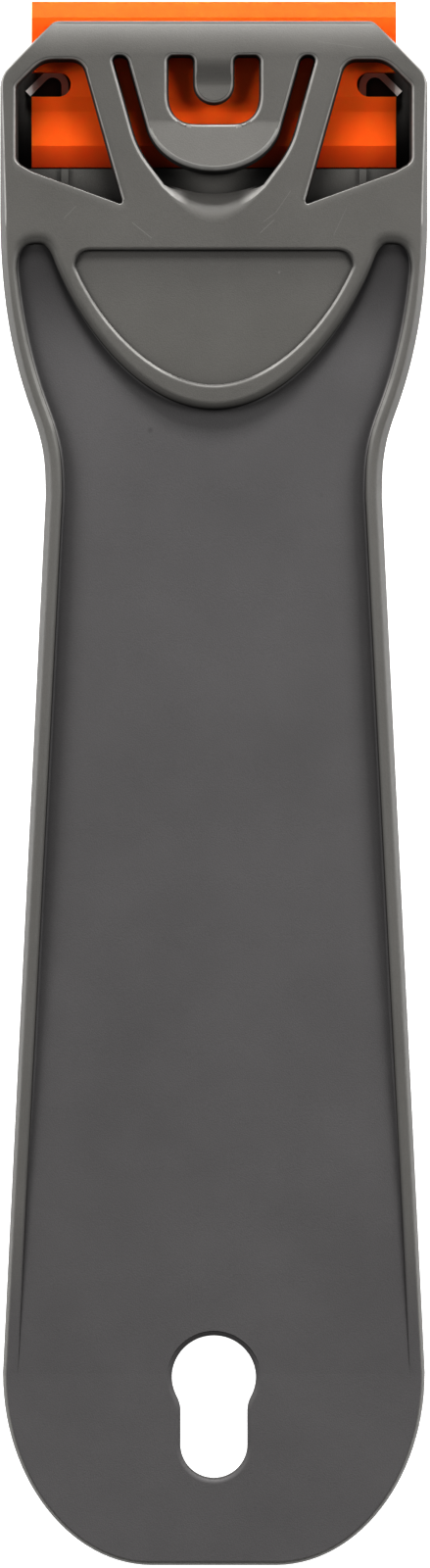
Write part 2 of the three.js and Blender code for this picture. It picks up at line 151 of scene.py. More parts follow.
# Closed anticlockwise loop, moved outwards by one distance or by one for each point.
def growLoop(loop, distances):
    grown = []
    count = len(loop)
    distances = spread(distances, count)
    for i, (x, y) in enumerate(loop):
        before = Vector((x, y)) - Vector(loop[i - 1])
        after = Vector(loop[(i + 1) % count]) - Vector((x, y))
        before = Vector((before.y, -before.x)).normalized()
        after = Vector((after.y, -after.x)).normalized()
        spot = Vector((x, y)) + (before + after) * (distances[i] / (1 + before.dot(after)))
        grown.append(tuple(spot))
    return grown


# Meshes

def addObject(name, data):
    piece = bpy.data.objects.new(name, data)
    bpy.context.scene.collection.objects.link(piece)
    return piece


def dropObject(piece):
    mesh = piece.data
    bpy.data.objects.remove(piece)
    bpy.data.meshes.remove(mesh)


# Closed body through rings of points. Rungs close its ends with strips from side to side.
def ringBody(name, rings, rungs=False):
    count = len(rings[0])
    points = [point for ring in rings for point in ring]
    faces = []
    for low in range(0, (len(rings) - 1) * count, count):
        for i in range(count):
            after = (i + 1) % count
            faces.append((low + i, low + after, low + count + after, low + count + i))
    top = (len(rings) - 1) * count
    if rungs:
        for i in range(count // 2 - 1):
            strip = (i, i + 1, count - 2 - i, count - 1 - i)
            faces.append(strip[::-1])
            faces.append(tuple(top + corner for corner in strip))
    else:
        faces.append(tuple(reversed(range(count))))
        faces.append(tuple(range(top, top + count)))
    mesh = bpy.data.meshes.new(name)
    mesh.from_pydata(points, [], faces)
    shape = bmesh.new()
    shape.from_mesh(mesh)
    bmesh.ops.recalc_face_normals(shape, faces=shape.faces)
    shape.to_mesh(mesh)
    shape.free()
    return addObject(name, mesh)


def laid(loop, heights):
    return [(x, y, z) for (x, y), z in zip(loop, spread(heights, len(loop)))]


def prism(name, loop, low, high):
    return ringBody(name, [laid(loop, low), laid(loop, high)])


# Mesh that a piece's live modifiers make.
def evaluated(piece):
    bpy.context.view_layer.update()
    graph = bpy.context.evaluated_depsgraph_get()
    return bpy.data.meshes.new_from_object(piece.evaluated_get(graph))


def settle(piece):
    mesh = evaluated(piece)
    old = piece.data
    piece.modifiers.clear()
    piece.data = mesh
    if old.users == 0:
        bpy.data.meshes.remove(old)
    return piece


def combine(piece, tools, operation):
    for tool in tools:
        step = piece.modifiers.new(tool.name, "BOOLEAN")
        step.operation = operation
        step.solver = "MANIFOLD"
        step.object = tool
    settle(piece)
    for tool in tools:
        dropObject(tool)
    return piece


rimSteps = 5
leastRise = 0.003  # between two rings of a carver
flareSlope = 0.4  # share by which a flare starts as a slope
footShare = 0.9  # most of the wall that the rounding of its foot takes
carveClear = 4.0  # how far carvers stand out past the head


# Tool that carves from a floor out through a face. The rim it leaves there is rounded, and so is
# the foot of its wall. Heights count along the way the face looks: 1 is the front, -1 the back.
# The wall leans outwards by the lean, and flares are how far the rounding also spreads at each
# point. Floors, faces and rims are lists, or one number for all points.
def carver(
        name, loop, floors, faces, rims, foot=0.0, facing=1, lean=0.0, widths=None, flares=None,
        steps=rimSteps):
    count = len(loop)
    floors, faces, rims = (spread(given, count) for given in (floors, faces, rims))
    flares = flares or [(0.0, 0.0)] * count
    depths = [max(face - floor, 0.0) for face, floor in zip(faces, floors)]
    rims = [min(rim, depth) for rim, depth in zip(rims, depths)]
    widths = widths or rims
    feet = [min(foot, (depth - rim) * footShare) for depth, rim in zip(depths, rims)]
    levels = []
    if foot > 0:
        for step in range(rimSteps):
            angle = math.pi / 2 * (1 - step / rimSteps)
            growth = [-reach * (1 - math.cos(angle)) for reach in feet]
            height = [low + reach * (1 - math.sin(angle)) for low, reach in zip(floors, feet)]
            levels.append((growth, height, 0.0))
    else:
        levels.append(([0.0] * count, floors, 0.0))
    for step in range(steps + 1):
        angle = math.pi / 2 * step / steps
        growth = [lean + width * (1 - math.cos(angle)) for width in widths]
        height = [face - rim * (1 - math.sin(angle)) for face, rim in zip(faces, rims)]
        levels.append((growth, height, lerp(1 - math.cos(angle), step / steps, flareSlope)))
    levels.append(([lean + width for width in widths], [headTop + carveClear] * count, 1.0))
    rings = []
    last = None
    for growth, height, opening in levels:
        if last is not None:
            height = [max(z, under + leastRise) for z, under in zip(height, last)]
        last = height
        ring = growLoop(loop, growth)
        ring = [(x + opening * dx, y + opening * dy) for (x, y), (dx, dy) in zip(ring, flares)]
        rings.append(laid(ring, [facing * z for z in height]))
    return ringBody(name, rings)


# Holder blank: handle, head and lip as one rounded slab

handleSizes = {
    "headEnd": 59.9,  # where the straight sides of the head end
    "shoulderDrop": 21.1, "shoulderWidth": 38.0, "shoulderLean": 20.4, "shoulderPull": 6.0,
    "headPull": 8.9, "neckDrop": 30.0, "neckWidth": 35.2, "neckPull": 3.6,
    "tailWidth": 44.2, "tailCorner": 20.15, "tailFlat": 13.0, "tailThickness": 3.4,
    "crown": 1.6,  # power of the curve that the handle thins by
    "cornerPull": 0.55, "chamfer": 5.7, "chamferRound": 1.1, "mouthRound": 0.5,
    "lipLength": 3.45, "lipDrop": 1.0, "soleDrop": 0.6,
    "tailSteps": 28, "railSteps": 20, "neckSteps": 14, "shoulderSteps": 20, "lipSteps": 12,
    "frontRound": 0.28, "backRound": 0.5, "partingShare": 0.4, "draft": 0.13, "mouthDraft": 0.02,
}
headEndY = handleSizes["headEnd"]
shoulderY = headEndY - handleSizes["shoulderDrop"]
neckY = headEndY - handleSizes["neckDrop"]
tailCornerY = tailY + handleSizes["tailCorner"]
lipY = mouthY - handleSizes["lipLength"]


def lipShare(y):
    return shareOf(y, lipY, mouthY) ** 2


def frontHeight(y):
    thinning = shareOf(y, shoulderY, tailCornerY) ** handleSizes["crown"]
    return lerp(headTop, handleSizes["tailThickness"], thinning) - handleSizes["lipDrop"] * lipShare(y)


def backHeight(y):
    return handleSizes["soleDrop"] * lipShare(y)


# Right-hand edge of the holder, from the tail's flat up to the mouth.
def holderSide():
    s = handleSizes
    lean = math.radians(s["shoulderLean"])
    leanX, leanY = math.sin(lean), math.cos(lean)
    flat, tailHalf = s["tailFlat"] / 2, s["tailWidth"] / 2
    cornerRun = (tailHalf - flat) * s["cornerPull"]
    tailCorner = (tailHalf, tailCornerY)
    neck = (s["neckWidth"] / 2, neckY)
    shoulder = (s["shoulderWidth"] / 2, shoulderY)
    head = (headHalf, headEndY)
    side = [(flat, tailY)]
    side += curveRun(
        s["tailSteps"], side[0], (flat + cornerRun, tailY),
        (tailHalf, tailCornerY - s["tailCorner"] * s["cornerPull"]), tailCorner)
    side += curveRun(s["railSteps"], tailCorner, neck)
    side += curveRun(
        s["neckSteps"], neck, (neck[0], neckY + s["neckPull"]),
        (shoulder[0] - leanX * s["neckPull"], shoulderY - leanY * s["neckPull"]), shoulder)
    side += curveRun(
        s["shoulderSteps"], shoulder,
        (shoulder[0] + leanX * s["shoulderPull"], shoulderY + leanY * s["shoulderPull"]),
        (headHalf, headEndY - s["headPull"]), head)
    corners = roundedRun([
        (*head, 0),
        (headHalf, mouthY - s["chamfer"], s["chamferRound"]),
        (headHalf - s["chamfer"], mouthY, s["mouthRound"]),
        (headHalf - s["chamfer"] - 2 * s["mouthRound"], mouthY, 0),
    ], closed=False)
    stations = [lerp(lipY, mouthY, i / s["lipSteps"]) for i in range(s["lipSteps"])]
    return side + withStations(corners, stations)[1:]


# Rings round a rounded edge, from the wall to the front face or from the back face to the wall.
def edgeRings(loop, heights, insets, radius, facing):
    rings = []
    for step in range(rimSteps + 1):
        angle = math.pi / 2 * step / rimSteps
        growth = [-inset - radius * (1 - math.cos(angle)) for inset in insets]
        height = [face - facing * radius * (1 - math.sin(angle)) for face in heights]
        rings.append(laid(growLoop(loop, growth), height))
    return rings[::facing]


def holderBlank():
    s = handleSizes
    right = holderSide()
    loop = right + mirrorRun(right)
    back = [backHeight(y) for x, y in loop]
    front = [frontHeight(y) for x, y in loop]
    parting = [lerp(low, high, s["partingShare"]) for low, high in zip(back, front)]
    drafts = [lerp(s["draft"], s["mouthDraft"], shareOf(y, headEndY, lipY)) for x, y in loop]
    lower = [draft * (high - low) for draft, high, low in zip(drafts, parting, back)]
    upper = [draft * (high - low) for draft, high, low in zip(drafts, front, parting)]
    rings = edgeRings(loop, back, lower, s["backRound"], -1)
    rings.append(laid(loop, parting))
    rings += edgeRings(loop, front, upper, s["frontRound"], 1)
    return ringBody("holder_moulding", rings, rungs=True)


# Recesses of the handle, shield and badge

recessSizes = {
    "railWidth": 1.8, "railTailWidth": 1.6, "railTopWidth": 1.5, "railRound": 0.6, "foot": 0.3,
    "frontDepth": 0.85, "backDepth": 1.7, "drop": 3.6, "corner": 1.9, "topRun": 1.9, "topWidth": 1.5,
    "shieldHalf": 17.2, "shieldHeight": 17.25, "shieldTaper": 3.6, "shieldSidePull": 9.3,
    "shieldNosePull": 10.0, "shieldCorner": 1.9, "shieldLean": 0.3, "shieldRound": 0.9,
    "cornerSteps": 8, "shieldSteps": 32,
}
recessTopY = headEndY - recessSizes["drop"]


def webFront(y):
    share = shareOf(y, recessTopY, tailCornerY)
    return lerp(headTop - recessSizes["frontDepth"], handleSizes["tailThickness"], share)


def webBack(y):
    return lerp(recessSizes["backDepth"], 0.0, shareOf(y, recessTopY, tailCornerY))


# Inner edge of the right-hand rail, with the turn at its top.
def railInside():
    s = recessSizes
    inside = []
    for x, y in holderSide():
        if tailCornerY <= y < recessTopY - s["corner"]:
            width = lerp(s["railWidth"], s["railTailWidth"], shareOf(y, neckY, tailCornerY))
            width = lerp(width, s["railTopWidth"], shareOf(y, shoulderY, recessTopY))
            inside.append((x - width, y))
    top = inside[-1]
    end = (top[0] - s["corner"], recessTopY)
    return inside + curveRun(s["cornerSteps"], top, (top[0], recessTopY), end)


def frontRecess():
    s = recessSizes
    half = s["shieldHalf"]
    rail = railInside()
    run = list(rail)
    bottomY = recessTopY - s["shieldHeight"]
    start = (half + s["shieldCorner"] / 2, recessTopY)
    side = (half - s["shieldLean"] * s["shieldCorner"], recessTopY - s["shieldCorner"])
    run.append(start)
    run += curveRun(s["cornerSteps"], start, (half, recessTopY), side)
    run += curveRun(
        s["shieldSteps"], side, (half - s["shieldTaper"], recessTopY - s["shieldSidePull"]),
        (half - s["shieldNosePull"], bottomY), (0.0, bottomY))
    turn = recessTopY - s["corner"]
    rims = [lerp(s["railRound"], s["shieldRound"], shareOf(y, turn, recessTopY)) for x, y in rail]
    rims += [s["shieldRound"]] * (len(run) - len(rims))
    loop = run + mirrorRun(run)[1:]
    rims += rims[-2::-1]
    floors = [webFront(y) for x, y in loop]
    faces = [frontHeight(y) for x, y in loop]
    tops = [shareOf(y, recessTopY - s["topRun"], recessTopY) for x, y in loop]
    widths = []
    for rim, face, low, top in zip(rims, faces, floors, tops):
        widths.append(lerp(min(rim, face - low), s["topWidth"], top * top))
    return carver("frontRecess", loop, floors, faces, rims, s["foot"], widths=widths)


def backRecess():
    s = recessSizes
    run = railInside()
    loop = run + mirrorRun(run)
    floors = [-webBack(y) for x, y in loop]
    return carver("backRecess", loop, floors, 0.0, s["railRound"], s["foot"], -1)


badgeSizes = {
    "drop": 4.3, "half": 14.5, "height": 14.0, "taper": 2.8, "sidePull": 8.2, "nosePull": 8.7,
    "shoulder": 1.7, "depth": 0.5, "round": 0.42, "foot": 0.06, "steps": 32, "shoulderSteps": 10,
}


def badgeRecess():
    s = badgeSizes
    half = s["half"]
    topY = headEndY - s["drop"]
    sideY = topY - s["shoulder"]
    pullY = topY - s["sidePull"]
    bottomY = topY - s["height"]
    nose = (0.0, bottomY)
    side = (half, sideY)
    run = curveRun(s["steps"], nose, (half - s["nosePull"], bottomY), (half - s["taper"], pullY), side)
    run += curveRun(s["shoulderSteps"], side, (half, topY), (half - s["shoulder"], topY))
    loop = [nose] + run + mirrorRun(run)
    return carver("badge", loop, headTop - s["depth"], headTop, s["round"], s["foot"])


keyholeSizes = {
    "radius": 4.4, "rise": 19.7, "slotWidth": 7.0, "slotRun": 7.1, "endAngle": 28.0, "throat": 1.5,
    "round": 0.5, "slotSteps": 16, "throatSteps": 6, "holeSteps": 28,
}


def keyhole(facing):
    s = keyholeSizes
    holeY = tailY + s["rise"]
    slotHalf = s["slotWidth"] / 2
    angle = math.radians(s["endAngle"])
    throatY = holeY - s["radius"] * math.sin(angle)
    joinX = s["radius"] * math.cos(angle)
    run = arcRun((0.0, holeY - s["slotRun"]), slotHalf, -math.pi / 2, 0.0, s["slotSteps"])
    run.append((slotHalf, throatY - s["throat"]))
    pull = (slotHalf, throatY - s["throat"] / 2)
    run += curveRun(s["throatSteps"], run[-1], pull, (joinX, throatY))
    run += arcRun((0.0, holeY), s["radius"], -angle, math.pi / 2, s["holeSteps"])[1:]
    loop = run + mirrorRun(run)[1:-1]
    middle = handleSizes["tailThickness"] / 2
    face = handleSizes["tailThickness"] if facing > 0 else 0.0
    return carver("keyhole", loop, facing * middle, face, s["round"], 0.0, facing)


# Head: pocket, side windows, tongue, tab and thumb scoop

headSizes = {
    "pocketFloor": 1.6, "partingFloor": 4.5, "shelfTop": 4.25, "shelfGap": 0.12, "sideWall": 1.9,
    "pocketRun": 4.75, "pocketCorner": 1.0, "bar": 3.9,
    "windowTop": 4.35, "chamferBar": 2.2, "strut": 3.4, "windowTip": 3.75, "windowHeel": 0.5,
    "heelRun": 1.55, "heelDrop": 0.9, "windowRound": 1.2, "heelRound": 0.5, "cornerRound": 0.25,
    "rim": 0.42, "sillRim": 0.12, "sillWidth": 0.75, "sillStart": 0.6, "sillFull": -0.2,
    "wallLean": 0.2, "sideLean": 0.28,
    "slotWidth": 1.33, "slotRound": 0.6,
}
tongueSizes = {
    "half": 9.18, "round": 4.6, "nose": 3.6, "rim": 0.42, "endRim": 0.6, "over": 0.4, "liftDrop": 0.25,
    "sideSteps": 8, "endSteps": 26, "windowSteps": 10,
    "windowHalf": 4.7, "windowHeight": 6.85, "windowRound": 3.0, "windowCorner": 0.5,
    "seam": 0.7,  # seam below the roots, where the moving pieces part from the bar
    "bend": 2.2, "bendRows": 6,  # stretch that bends
    "liftStart": 0.25, "liftRoot": 0.5,  # where the raised end starts before its slope and in the plate
}
tabSizes = {
    "half": 2.2, "step": 0.8, "slope": 3.1, "rim": 0.35, "rootRound": 0.5, "slopeSteps": 12,
    "tipSteps": 14, "overRoot": 0.4, "underTip": 0.9,  # how far cuts reach past the tab's ends
    "startRise": 0.02, "rootRise": 0.002,  # the step starts this far over the plate
}
scoopSizes = {
    "half": 5.05, "join": 0.95, "sill": 1.75, "run": 4.65, "bow": 1.8, "bend": 2.75, "bendRound": 2.0,
    "depth": 2.2, "edge": 0.3, "rim": 0.5, "rimPower": 0.4, "steps": 16, "bendSteps": 12, "rimSteps": 9,
}
rootY = mouthY - headSizes["bar"]
pocketHalf = headHalf - headSizes["sideWall"]
pocketEndY = bladeLow.y - headSizes["pocketRun"]
shelfY = bladeLow.y - headSizes["shelfGap"]
tongueEndY = tongueLow.y - tongueSizes["over"]
liftY = rootY - tongueSizes["windowHeight"]
liftSlope = (tongueHigh.z - tongueSizes["liftDrop"] - headTop) / (liftY - tongueEndY)
scoopY = tongueEndY - scoopSizes["run"]
seamY = rootY - tongueSizes["seam"]
tabReach = (tabSizes["half"] + tongueSizes["windowHalf"]) / 2  # middle of the gap beside the tab
tabEndY = tabLow.y - tabSizes["underTip"]
nearSpot = 0.1  # points of a run this near to a corner are left out
sameSpot = 0.001  # heights this near to each other are the same


# Pocket for the blade, or the space over the shelf behind it.
def pocket(endY, low):
    corner = headSizes["pocketCorner"]
    loop = roundedRun([
        (pocketHalf, endY, corner), (pocketHalf, mouthY + carveClear, 0),
        (-pocketHalf, mouthY + carveClear, 0), (-pocketHalf, endY, corner)])
    return prism("pocket", loop, low, plateUnder)


def tongueEdge(y):
    return tongueSizes["half"] - headSizes["sideLean"] * (rootY - y)


def slotEdge(y):
    return tongueEdge(y) + headSizes["slotWidth"]


def liftFace(y):
    return headTop + max(liftSlope * (liftY - y), 0.0)


def tabFace(y):
    share = shareOf(y, rootY, rootY - tabSizes["slope"])
    return headTop - tabSizes["step"] * share * share * (3 - 2 * share)


def sideWindow(side):
    s = headSizes
    topY = mouthY - s["windowTop"]
    tipY = bladeLow.y - s["windowTip"]
    heelY = bladeLow.y + s["windowHeel"]
    diagonal = headHalf + mouthY - handleSizes["chamfer"] - s["chamferBar"] * math.sqrt(2)
    loop = roundedRun([
        (pocketHalf, heelY, s["heelRound"]),
        (pocketHalf, diagonal - pocketHalf, s["cornerRound"]),
        (diagonal - topY, topY, s["windowRound"]),
        (slotEdge(topY) + s["strut"], topY, s["windowRound"]),
        (slotEdge(tipY) + s["strut"], tipY, s["cornerRound"]),
        (pocketHalf - s["heelRun"], heelY - s["heelDrop"], s["heelRound"])])
    if side < 0:
        loop = mirrorRun(loop)
    sills = [shareOf(y, heelY + s["sillStart"], heelY + s["sillFull"]) for x, y in loop]
    rims = [lerp(s["rim"], s["sillRim"], sill) for sill in sills]
    widths = [lerp(s["rim"], s["sillWidth"], sill) for sill in sills]
    return carver("sideWindow", loop, cutFloor, headTop, rims, lean=s["wallLean"], widths=widths)


# Right half of the tongue's outline, from its root down to the middle of its round end.
def tongueRun():
    s = tongueSizes
    roundY = tongueEndY + s["round"]
    pullY = roundY - s["round"] / 2
    run = curveRun(s["sideSteps"], (tongueEdge(rootY), rootY), (tongueEdge(roundY), roundY))
    pull = (tongueEdge(pullY), pullY)
    return run + curveRun(s["endSteps"], run[-1], pull, (s["nose"], tongueEndY), (0.0, tongueEndY))


# Loop round the tongue's end, from a height down, in the middle of the channel.
def tongueLoop(startY, slack=0.0):
    run = [(tongueEdge(startY), startY)]
    run += [spot for spot in tongueRun() if spot[1] < startY - slack]
    loop = [(-x, y) for x, y in run] + run[-2::-1]
    return growLoop(loop, headSizes["slotWidth"] / 2)


# Share of the way from the middle of the scoop to the corner where it joins the slot.
def scoopShare(x):
    return min(abs(x) / scoopSizes["half"], 1.0)


# Right half of the outer edge of the opening, from the scoop's sill up to the slot.
def openingRun():
    s = scoopSizes
    joinY = tongueEndY - s["join"]
    sillY = tongueEndY - s["sill"]
    bendY = tongueEndY + s["bend"]
    run = []
    for i in range(s["steps"]):
        x = s["half"] * i / s["steps"]
        run.append((x, lerp(sillY, joinY, scoopShare(x) ** 2)))
    corners = roundedRun([
        (s["half"], joinY, 0), (slotEdge(bendY), bendY, s["bendRound"]), (slotEdge(rootY), rootY, 0),
    ], closed=False, steps=s["bendSteps"])
    return run + corners[:-1]


# Channel round the tongue: both slots and the gap over the scoop, as one loop.
def tongueChannel():
    s = headSizes
    outer = openingRun()
    lowY = rootY - 2 * s["slotWidth"]
    slotTop = roundedRun([
        (*outer[-1], 0), (slotEdge(rootY), rootY, s["slotRound"]),
        (tongueEdge(rootY), rootY, s["slotRound"]), (tongueEdge(lowY), lowY, 0),
    ], closed=False)[1:-1]
    inner = [spot for spot in tongueRun() if spot[1] < slotTop[-1][1] - nearSpot]
    right = outer + slotTop + inner
    loop = right + mirrorRun(right)[1:-1]
    onTongue = [False] * len(outer + slotTop) + [True] * len(inner)
    onTongue += onTongue[-2:0:-1]
    scoop = scoopSizes
    rims = []
    widths = []
    flares = []
    for (x, y), onIt in zip(loop, onTongue):
        endRim = tongueSizes["endRim"] if onIt else scoop["rim"]
        rim = lerp(tongueSizes["rim"], endRim, shareOf(y, liftY, tongueEndY))
        inScoop = not onIt and y < tongueEndY - scoop["join"] + sameSpot
        opened = 1 - scoopShare(x) ** scoop["bow"] if inScoop else 0.0
        rims.append(lerp(rim, scoop["depth"], opened ** scoop["rimPower"]))
        widths.append(lerp(rim, scoop["edge"], opened))
        flares.append((0.0, -opened * (scoop["run"] - scoop["sill"])))
    edge = growLoop(loop, [s["wallLean"] + width for width in widths])
    faces = [liftFace(y) if onIt else headTop for (x, y), onIt in zip(edge, onTongue)]
    return carver(
        "channel", loop, cutFloor, faces, rims, lean=s["wallLean"], widths=widths, flares=flares,
        steps=scoop["rimSteps"])


# Window between the tongue and the tab, as one loop round the tab.
def tabWindow():
    t = tongueSizes
    half = t["windowHalf"]
    tip = (0.0, tabLow.y + tabSizes["half"])
    right = roundedRun([
        (0.0, liftY, 0), (half, liftY, t["windowRound"]), (half, rootY, t["windowCorner"]),
        (tabSizes["half"], rootY, tabSizes["rootRound"]), (tabSizes["half"], tip[1], 0),
    ], closed=False, steps=t["windowSteps"])
    right += arcRun(tip, tabSizes["half"], 0.0, -math.pi / 2, tabSizes["tipSteps"])[1:]
    loop = right + mirrorRun(right)[1:-1]
    onTab = [abs(x) < tabReach and y > liftY + nearSpot for x, y in loop]
    rims = [tabSizes["rim"] if tab else t["rim"] for tab in onTab]
    outer = growLoop(loop, [headSizes["wallLean"] + rim for rim in rims])
    faces = [tabFace(y) if tab else liftFace(y) for (x, y), tab in zip(outer, onTab)]
    return carver("tabWindow", loop, cutFloor, faces, rims, lean=headSizes["wallLean"])


# Step that lowers the tab's face below the front plate.
def tabStep():
    startY = rootY + tabSizes["overRoot"]
    high = headTop + carveClear / 2
    profile = [(startY, headTop + tabSizes["startRise"]), (rootY, headTop + tabSizes["rootRise"])]
    for step in range(1, tabSizes["slopeSteps"] + 1):
        y = lerp(rootY, rootY - tabSizes["slope"], step / tabSizes["slopeSteps"])
        profile.append((y, tabFace(y)))
    profile += [(tabEndY, tabFace(tabEndY)), (tabEndY, high), (startY, high)]
    return ringBody("tabStep", [[(x, y, z) for y, z in profile] for x in (-tabReach, tabReach)])


# Wedge that raises the tongue's end for the thumb. It runs out inside the channel.
def tongueLift():
    loop = tongueLoop(liftY + tongueSizes["liftStart"])
    tops = [headTop + liftSlope * (liftY - y) for x, y in loop]
    return ringBody("lift", [laid(loop, plateUnder + tongueSizes["liftRoot"]), laid(loop, tops)])


# Node trees

def feed(tree, socket, value):
    if isinstance(value, bpy.types.NodeSocket):
        tree.links.new(value, socket)
    else:
        socket.default_value = value


# Inputs are values or the sockets that they come from.
def feedAll(tree, node, inputs):
    for label, value in inputs.items():
        feed(tree, node.inputs[label], value)


def addNode(tree, kind, inputs=None, **settings):
    node = tree.nodes.new(kind)
    for label, value in settings.items():
        setattr(node, label, value)
    feedAll(tree, node, inputs or {})
    return node


# Tree that makes a mesh from number inputs and a material, and the sockets of its inputs.
def newTree(name, labels):
    tree = bpy.data.node_groups.new(name, "GeometryNodeTree")
    kinds = {"Geometry": "NodeSocketGeometry", **{label: "NodeSocketFloat" for label in labels}}
    kinds["Material"] = "NodeSocketMaterial"
    for label, kind in kinds.items():
        tree.interface.new_socket(label, in_out="INPUT", socket_type=kind)
    tree.interface.new_socket("Geometry", in_out="OUTPUT", socket_type=kinds["Geometry"])
    return tree, addNode(tree, "NodeGroupInput").outputs


def swept(tree, curve, section):
    inputs = {"Curve": curve, "Profile Curve": section, "Fill Caps": True}
    return addNode(tree, "GeometryNodeCurveToMesh", inputs).outputs["Mesh"]


# End of a tree: one plain mesh with its material.
def painted(tree, shape, material):
    real = addNode(tree, "GeometryNodeRealizeInstances", {"Geometry": shape}).outputs["Geometry"]
    paint = addNode(tree, "GeometryNodeSetMaterial", {"Geometry": real, "Material": material})
    addNode(tree, "NodeGroupOutput", {"Geometry": paint.outputs["Geometry"]})
    return tree


# Adds the tree to a piece, sets its inputs by their identifiers, and keeps the mesh it makes.
def grow(name, carrier, tree, values):
    step = carrier.modifiers.new(tree.name, "NODES")
    step.node_group = tree
    for item in tree.interface.items_tree:
        if item.in_out == "INPUT" and item.name in values:
            step[item.identifier] = values[item.name]
    mesh = evaluated(carrier)
    mesh.name = name
    carrier.modifiers.clear()
    bpy.data.objects.remove(carrier)
    return addObject(name, mesh)


def pathObject(name, paths):
    curve = bpy.data.curves.new(name, "CURVE")
    curve.dimensions = "3D"
    for path in paths:
        spline = curve.splines.new("POLY")
        spline.points.add(len(path) - 1)
        for point, spot in zip(spline.points, path):
            point.co = (*spot, 1.0)
    return addObject(name, curve)


# Hooked ribs that the blade's spine rests on, swept by nodes along their paths

ribSizes = {
    "width": 0.75, "top": 2.4, "stopTop": 4.6, "root": 0.8, "hookRadius": 1.65, "hookCover": 0.3,
    "hookLeg": 2.4, "hookSteps": 16, "seatGap": 0.25, "stopGap": 0.02,
}


def ribTree():
    tree, given = newTree("ribSweep", ["Width", "Height"])
    sides = {label: given[label] for label in ("Width", "Height")}
    section = addNode(tree, "GeometryNodeCurvePrimitiveQuadrilateral", sides)
    shape = swept(tree, given["Geometry"], section.outputs["Curve"])
    return painted(tree, shape, given["Material"])


# Middle line of the right-hand rib: up from behind the pocket, over the hook and down its leg.
def ribRun():
    s = ribSizes
    half = s["width"] / 2
    inner = bladeHigh.x - bladeSizes["notchDepth"] + s["seatGap"]
    centreY = bladeMiddle.y + bladeSizes["notchHeight"] / 2 + s["hookCover"] - s["hookRadius"]
    centre = (inner + s["hookRadius"], centreY)
    run = [(inner + half, pocketEndY - headSizes["pocketCorner"])]
    run += arcRun(centre, s["hookRadius"] - half, math.pi, math.pi / 4, s["hookSteps"])
    leg = s["hookLeg"] / math.sqrt(2)
    run.append((run[-1][0] + leg, run[-1][1] - leg))
    return run


def seatRibs(tree, material):
    s = ribSizes
    run = ribRun()
    stop = [run[0], (run[0][0], shelfY - s["stopGap"])]
    ribs = []
    for label, path, top in (("hook", run, s["top"]), ("stop", stop, s["stopTop"])):
        height = top - s["root"]
        middle = s["root"] + height / 2
        paths = [[(side * x, y, middle) for x, y in path] for side in (1, -1)]
        values = {"Width": s["width"], "Height": height, "Material": material}
        ribs.append(grow(label + "Ribs", pathObject(label, paths), tree, values))
    return ribs


# Finishing of a piece: metres, soft edges by angle, material

finishSizes = {"smoothAngle": 32.0, "flatWeight": 60}


def finishPiece(piece, material, node):
    piece.data.transform(Matrix.Scale(mm, 4))
    piece.data.materials.clear()
    piece.data.materials.append(material)
    for face in piece.data.polygons:
        face.material_index = 0
    piece.data.shade_smooth()
    piece.data.set_sharp_from_angle(angle=math.radians(finishSizes["smoothAngle"]))
    level = piece.modifiers.new("flatFaces", "WEIGHTED_NORMAL")
    level.keep_sharp = True
    level.weight = finishSizes["flatWeight"]
    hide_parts(node)
    print(piece.name, "made:", len(piece.data.polygons), "faces")
    return piece


# Shader groups that both plastics use

def newGroup(name, inputs, outputs):
    tree = bpy.data.node_groups.new(name, "ShaderNodeTree")
    for label, value in inputs:
        socket = tree.interface.new_socket(label, in_out="INPUT", socket_type="NodeSocketFloat")
        socket.default_value = value
    for label in outputs:
        tree.interface.new_socket(label, in_out="OUTPUT", socket_type="NodeSocketFloat")
    return tree, addNode(tree, "NodeGroupInput"), addNode(tree, "NodeGroupOutput")


def calc(tree, operation, a, b=0.0):
    return addNode(tree, "ShaderNodeMath", {0: a, 1: b}, operation=operation).outputs[0]


def product(tree, value, *others):
    for other in others:
        value = calc(tree, "MULTIPLY", value, other)
    return value


def highest(tree, value, *others):
    for other in others:
        value = calc(tree, "MAXIMUM", value, other)
    return value


def ramp(tree, value, low, high, atLow=0.0, atHigh=1.0, kind="SMOOTHSTEP"):
    inputs = dict(enumerate((value, low, high, atLow, atHigh)))
    return addNode(tree, "ShaderNodeMapRange", inputs, interpolation_type=kind).outputs[0]


def tint(tree, share, a, b):
    return addNode(tree, "ShaderNodeMix", {0: share, 6: a, 7: b}, data_type="RGBA").outputs[2]


# Vector sum, with a number as the second value of a scaling.
def vector(tree, operation, a, b=(0.0, 0.0, 0.0)):
    inputs = {0: a, 3 if operation == "SCALE" else 1: b}
    node = addNode(tree, "ShaderNodeVectorMath", inputs, operation=operation)
    return node.outputs[1 if operation in ("DOT_PRODUCT", "LENGTH") else 0]


def axes(tree, given):
    return addNode(tree, "ShaderNodeSeparateXYZ", {0: given}).outputs


# Object coordinates in millimetres, as a vector and one by one.
def places(tree):
    spot = addNode(tree, "ShaderNodeTexCoord")
    return vector(tree, "SCALE", spot.outputs["Object"], 1 / mm)


def spots(tree):
    return axes(tree, places(tree))


# Way the surface faces: to the right, towards the mouth and to the front.
def facings(tree):
    return axes(tree, addNode(tree, "ShaderNodeNewGeometry").outputs["Normal"])


cloudRange = (0.3, 0.7)  # where most of a noise's values lie


def noise(tree, spot, scale, detail, rough):
    inputs = {"Vector": spot, "Scale": scale, "Detail": detail, "Roughness": rough}
    return addNode(tree, "ShaderNodeTexNoise", inputs).outputs[0]


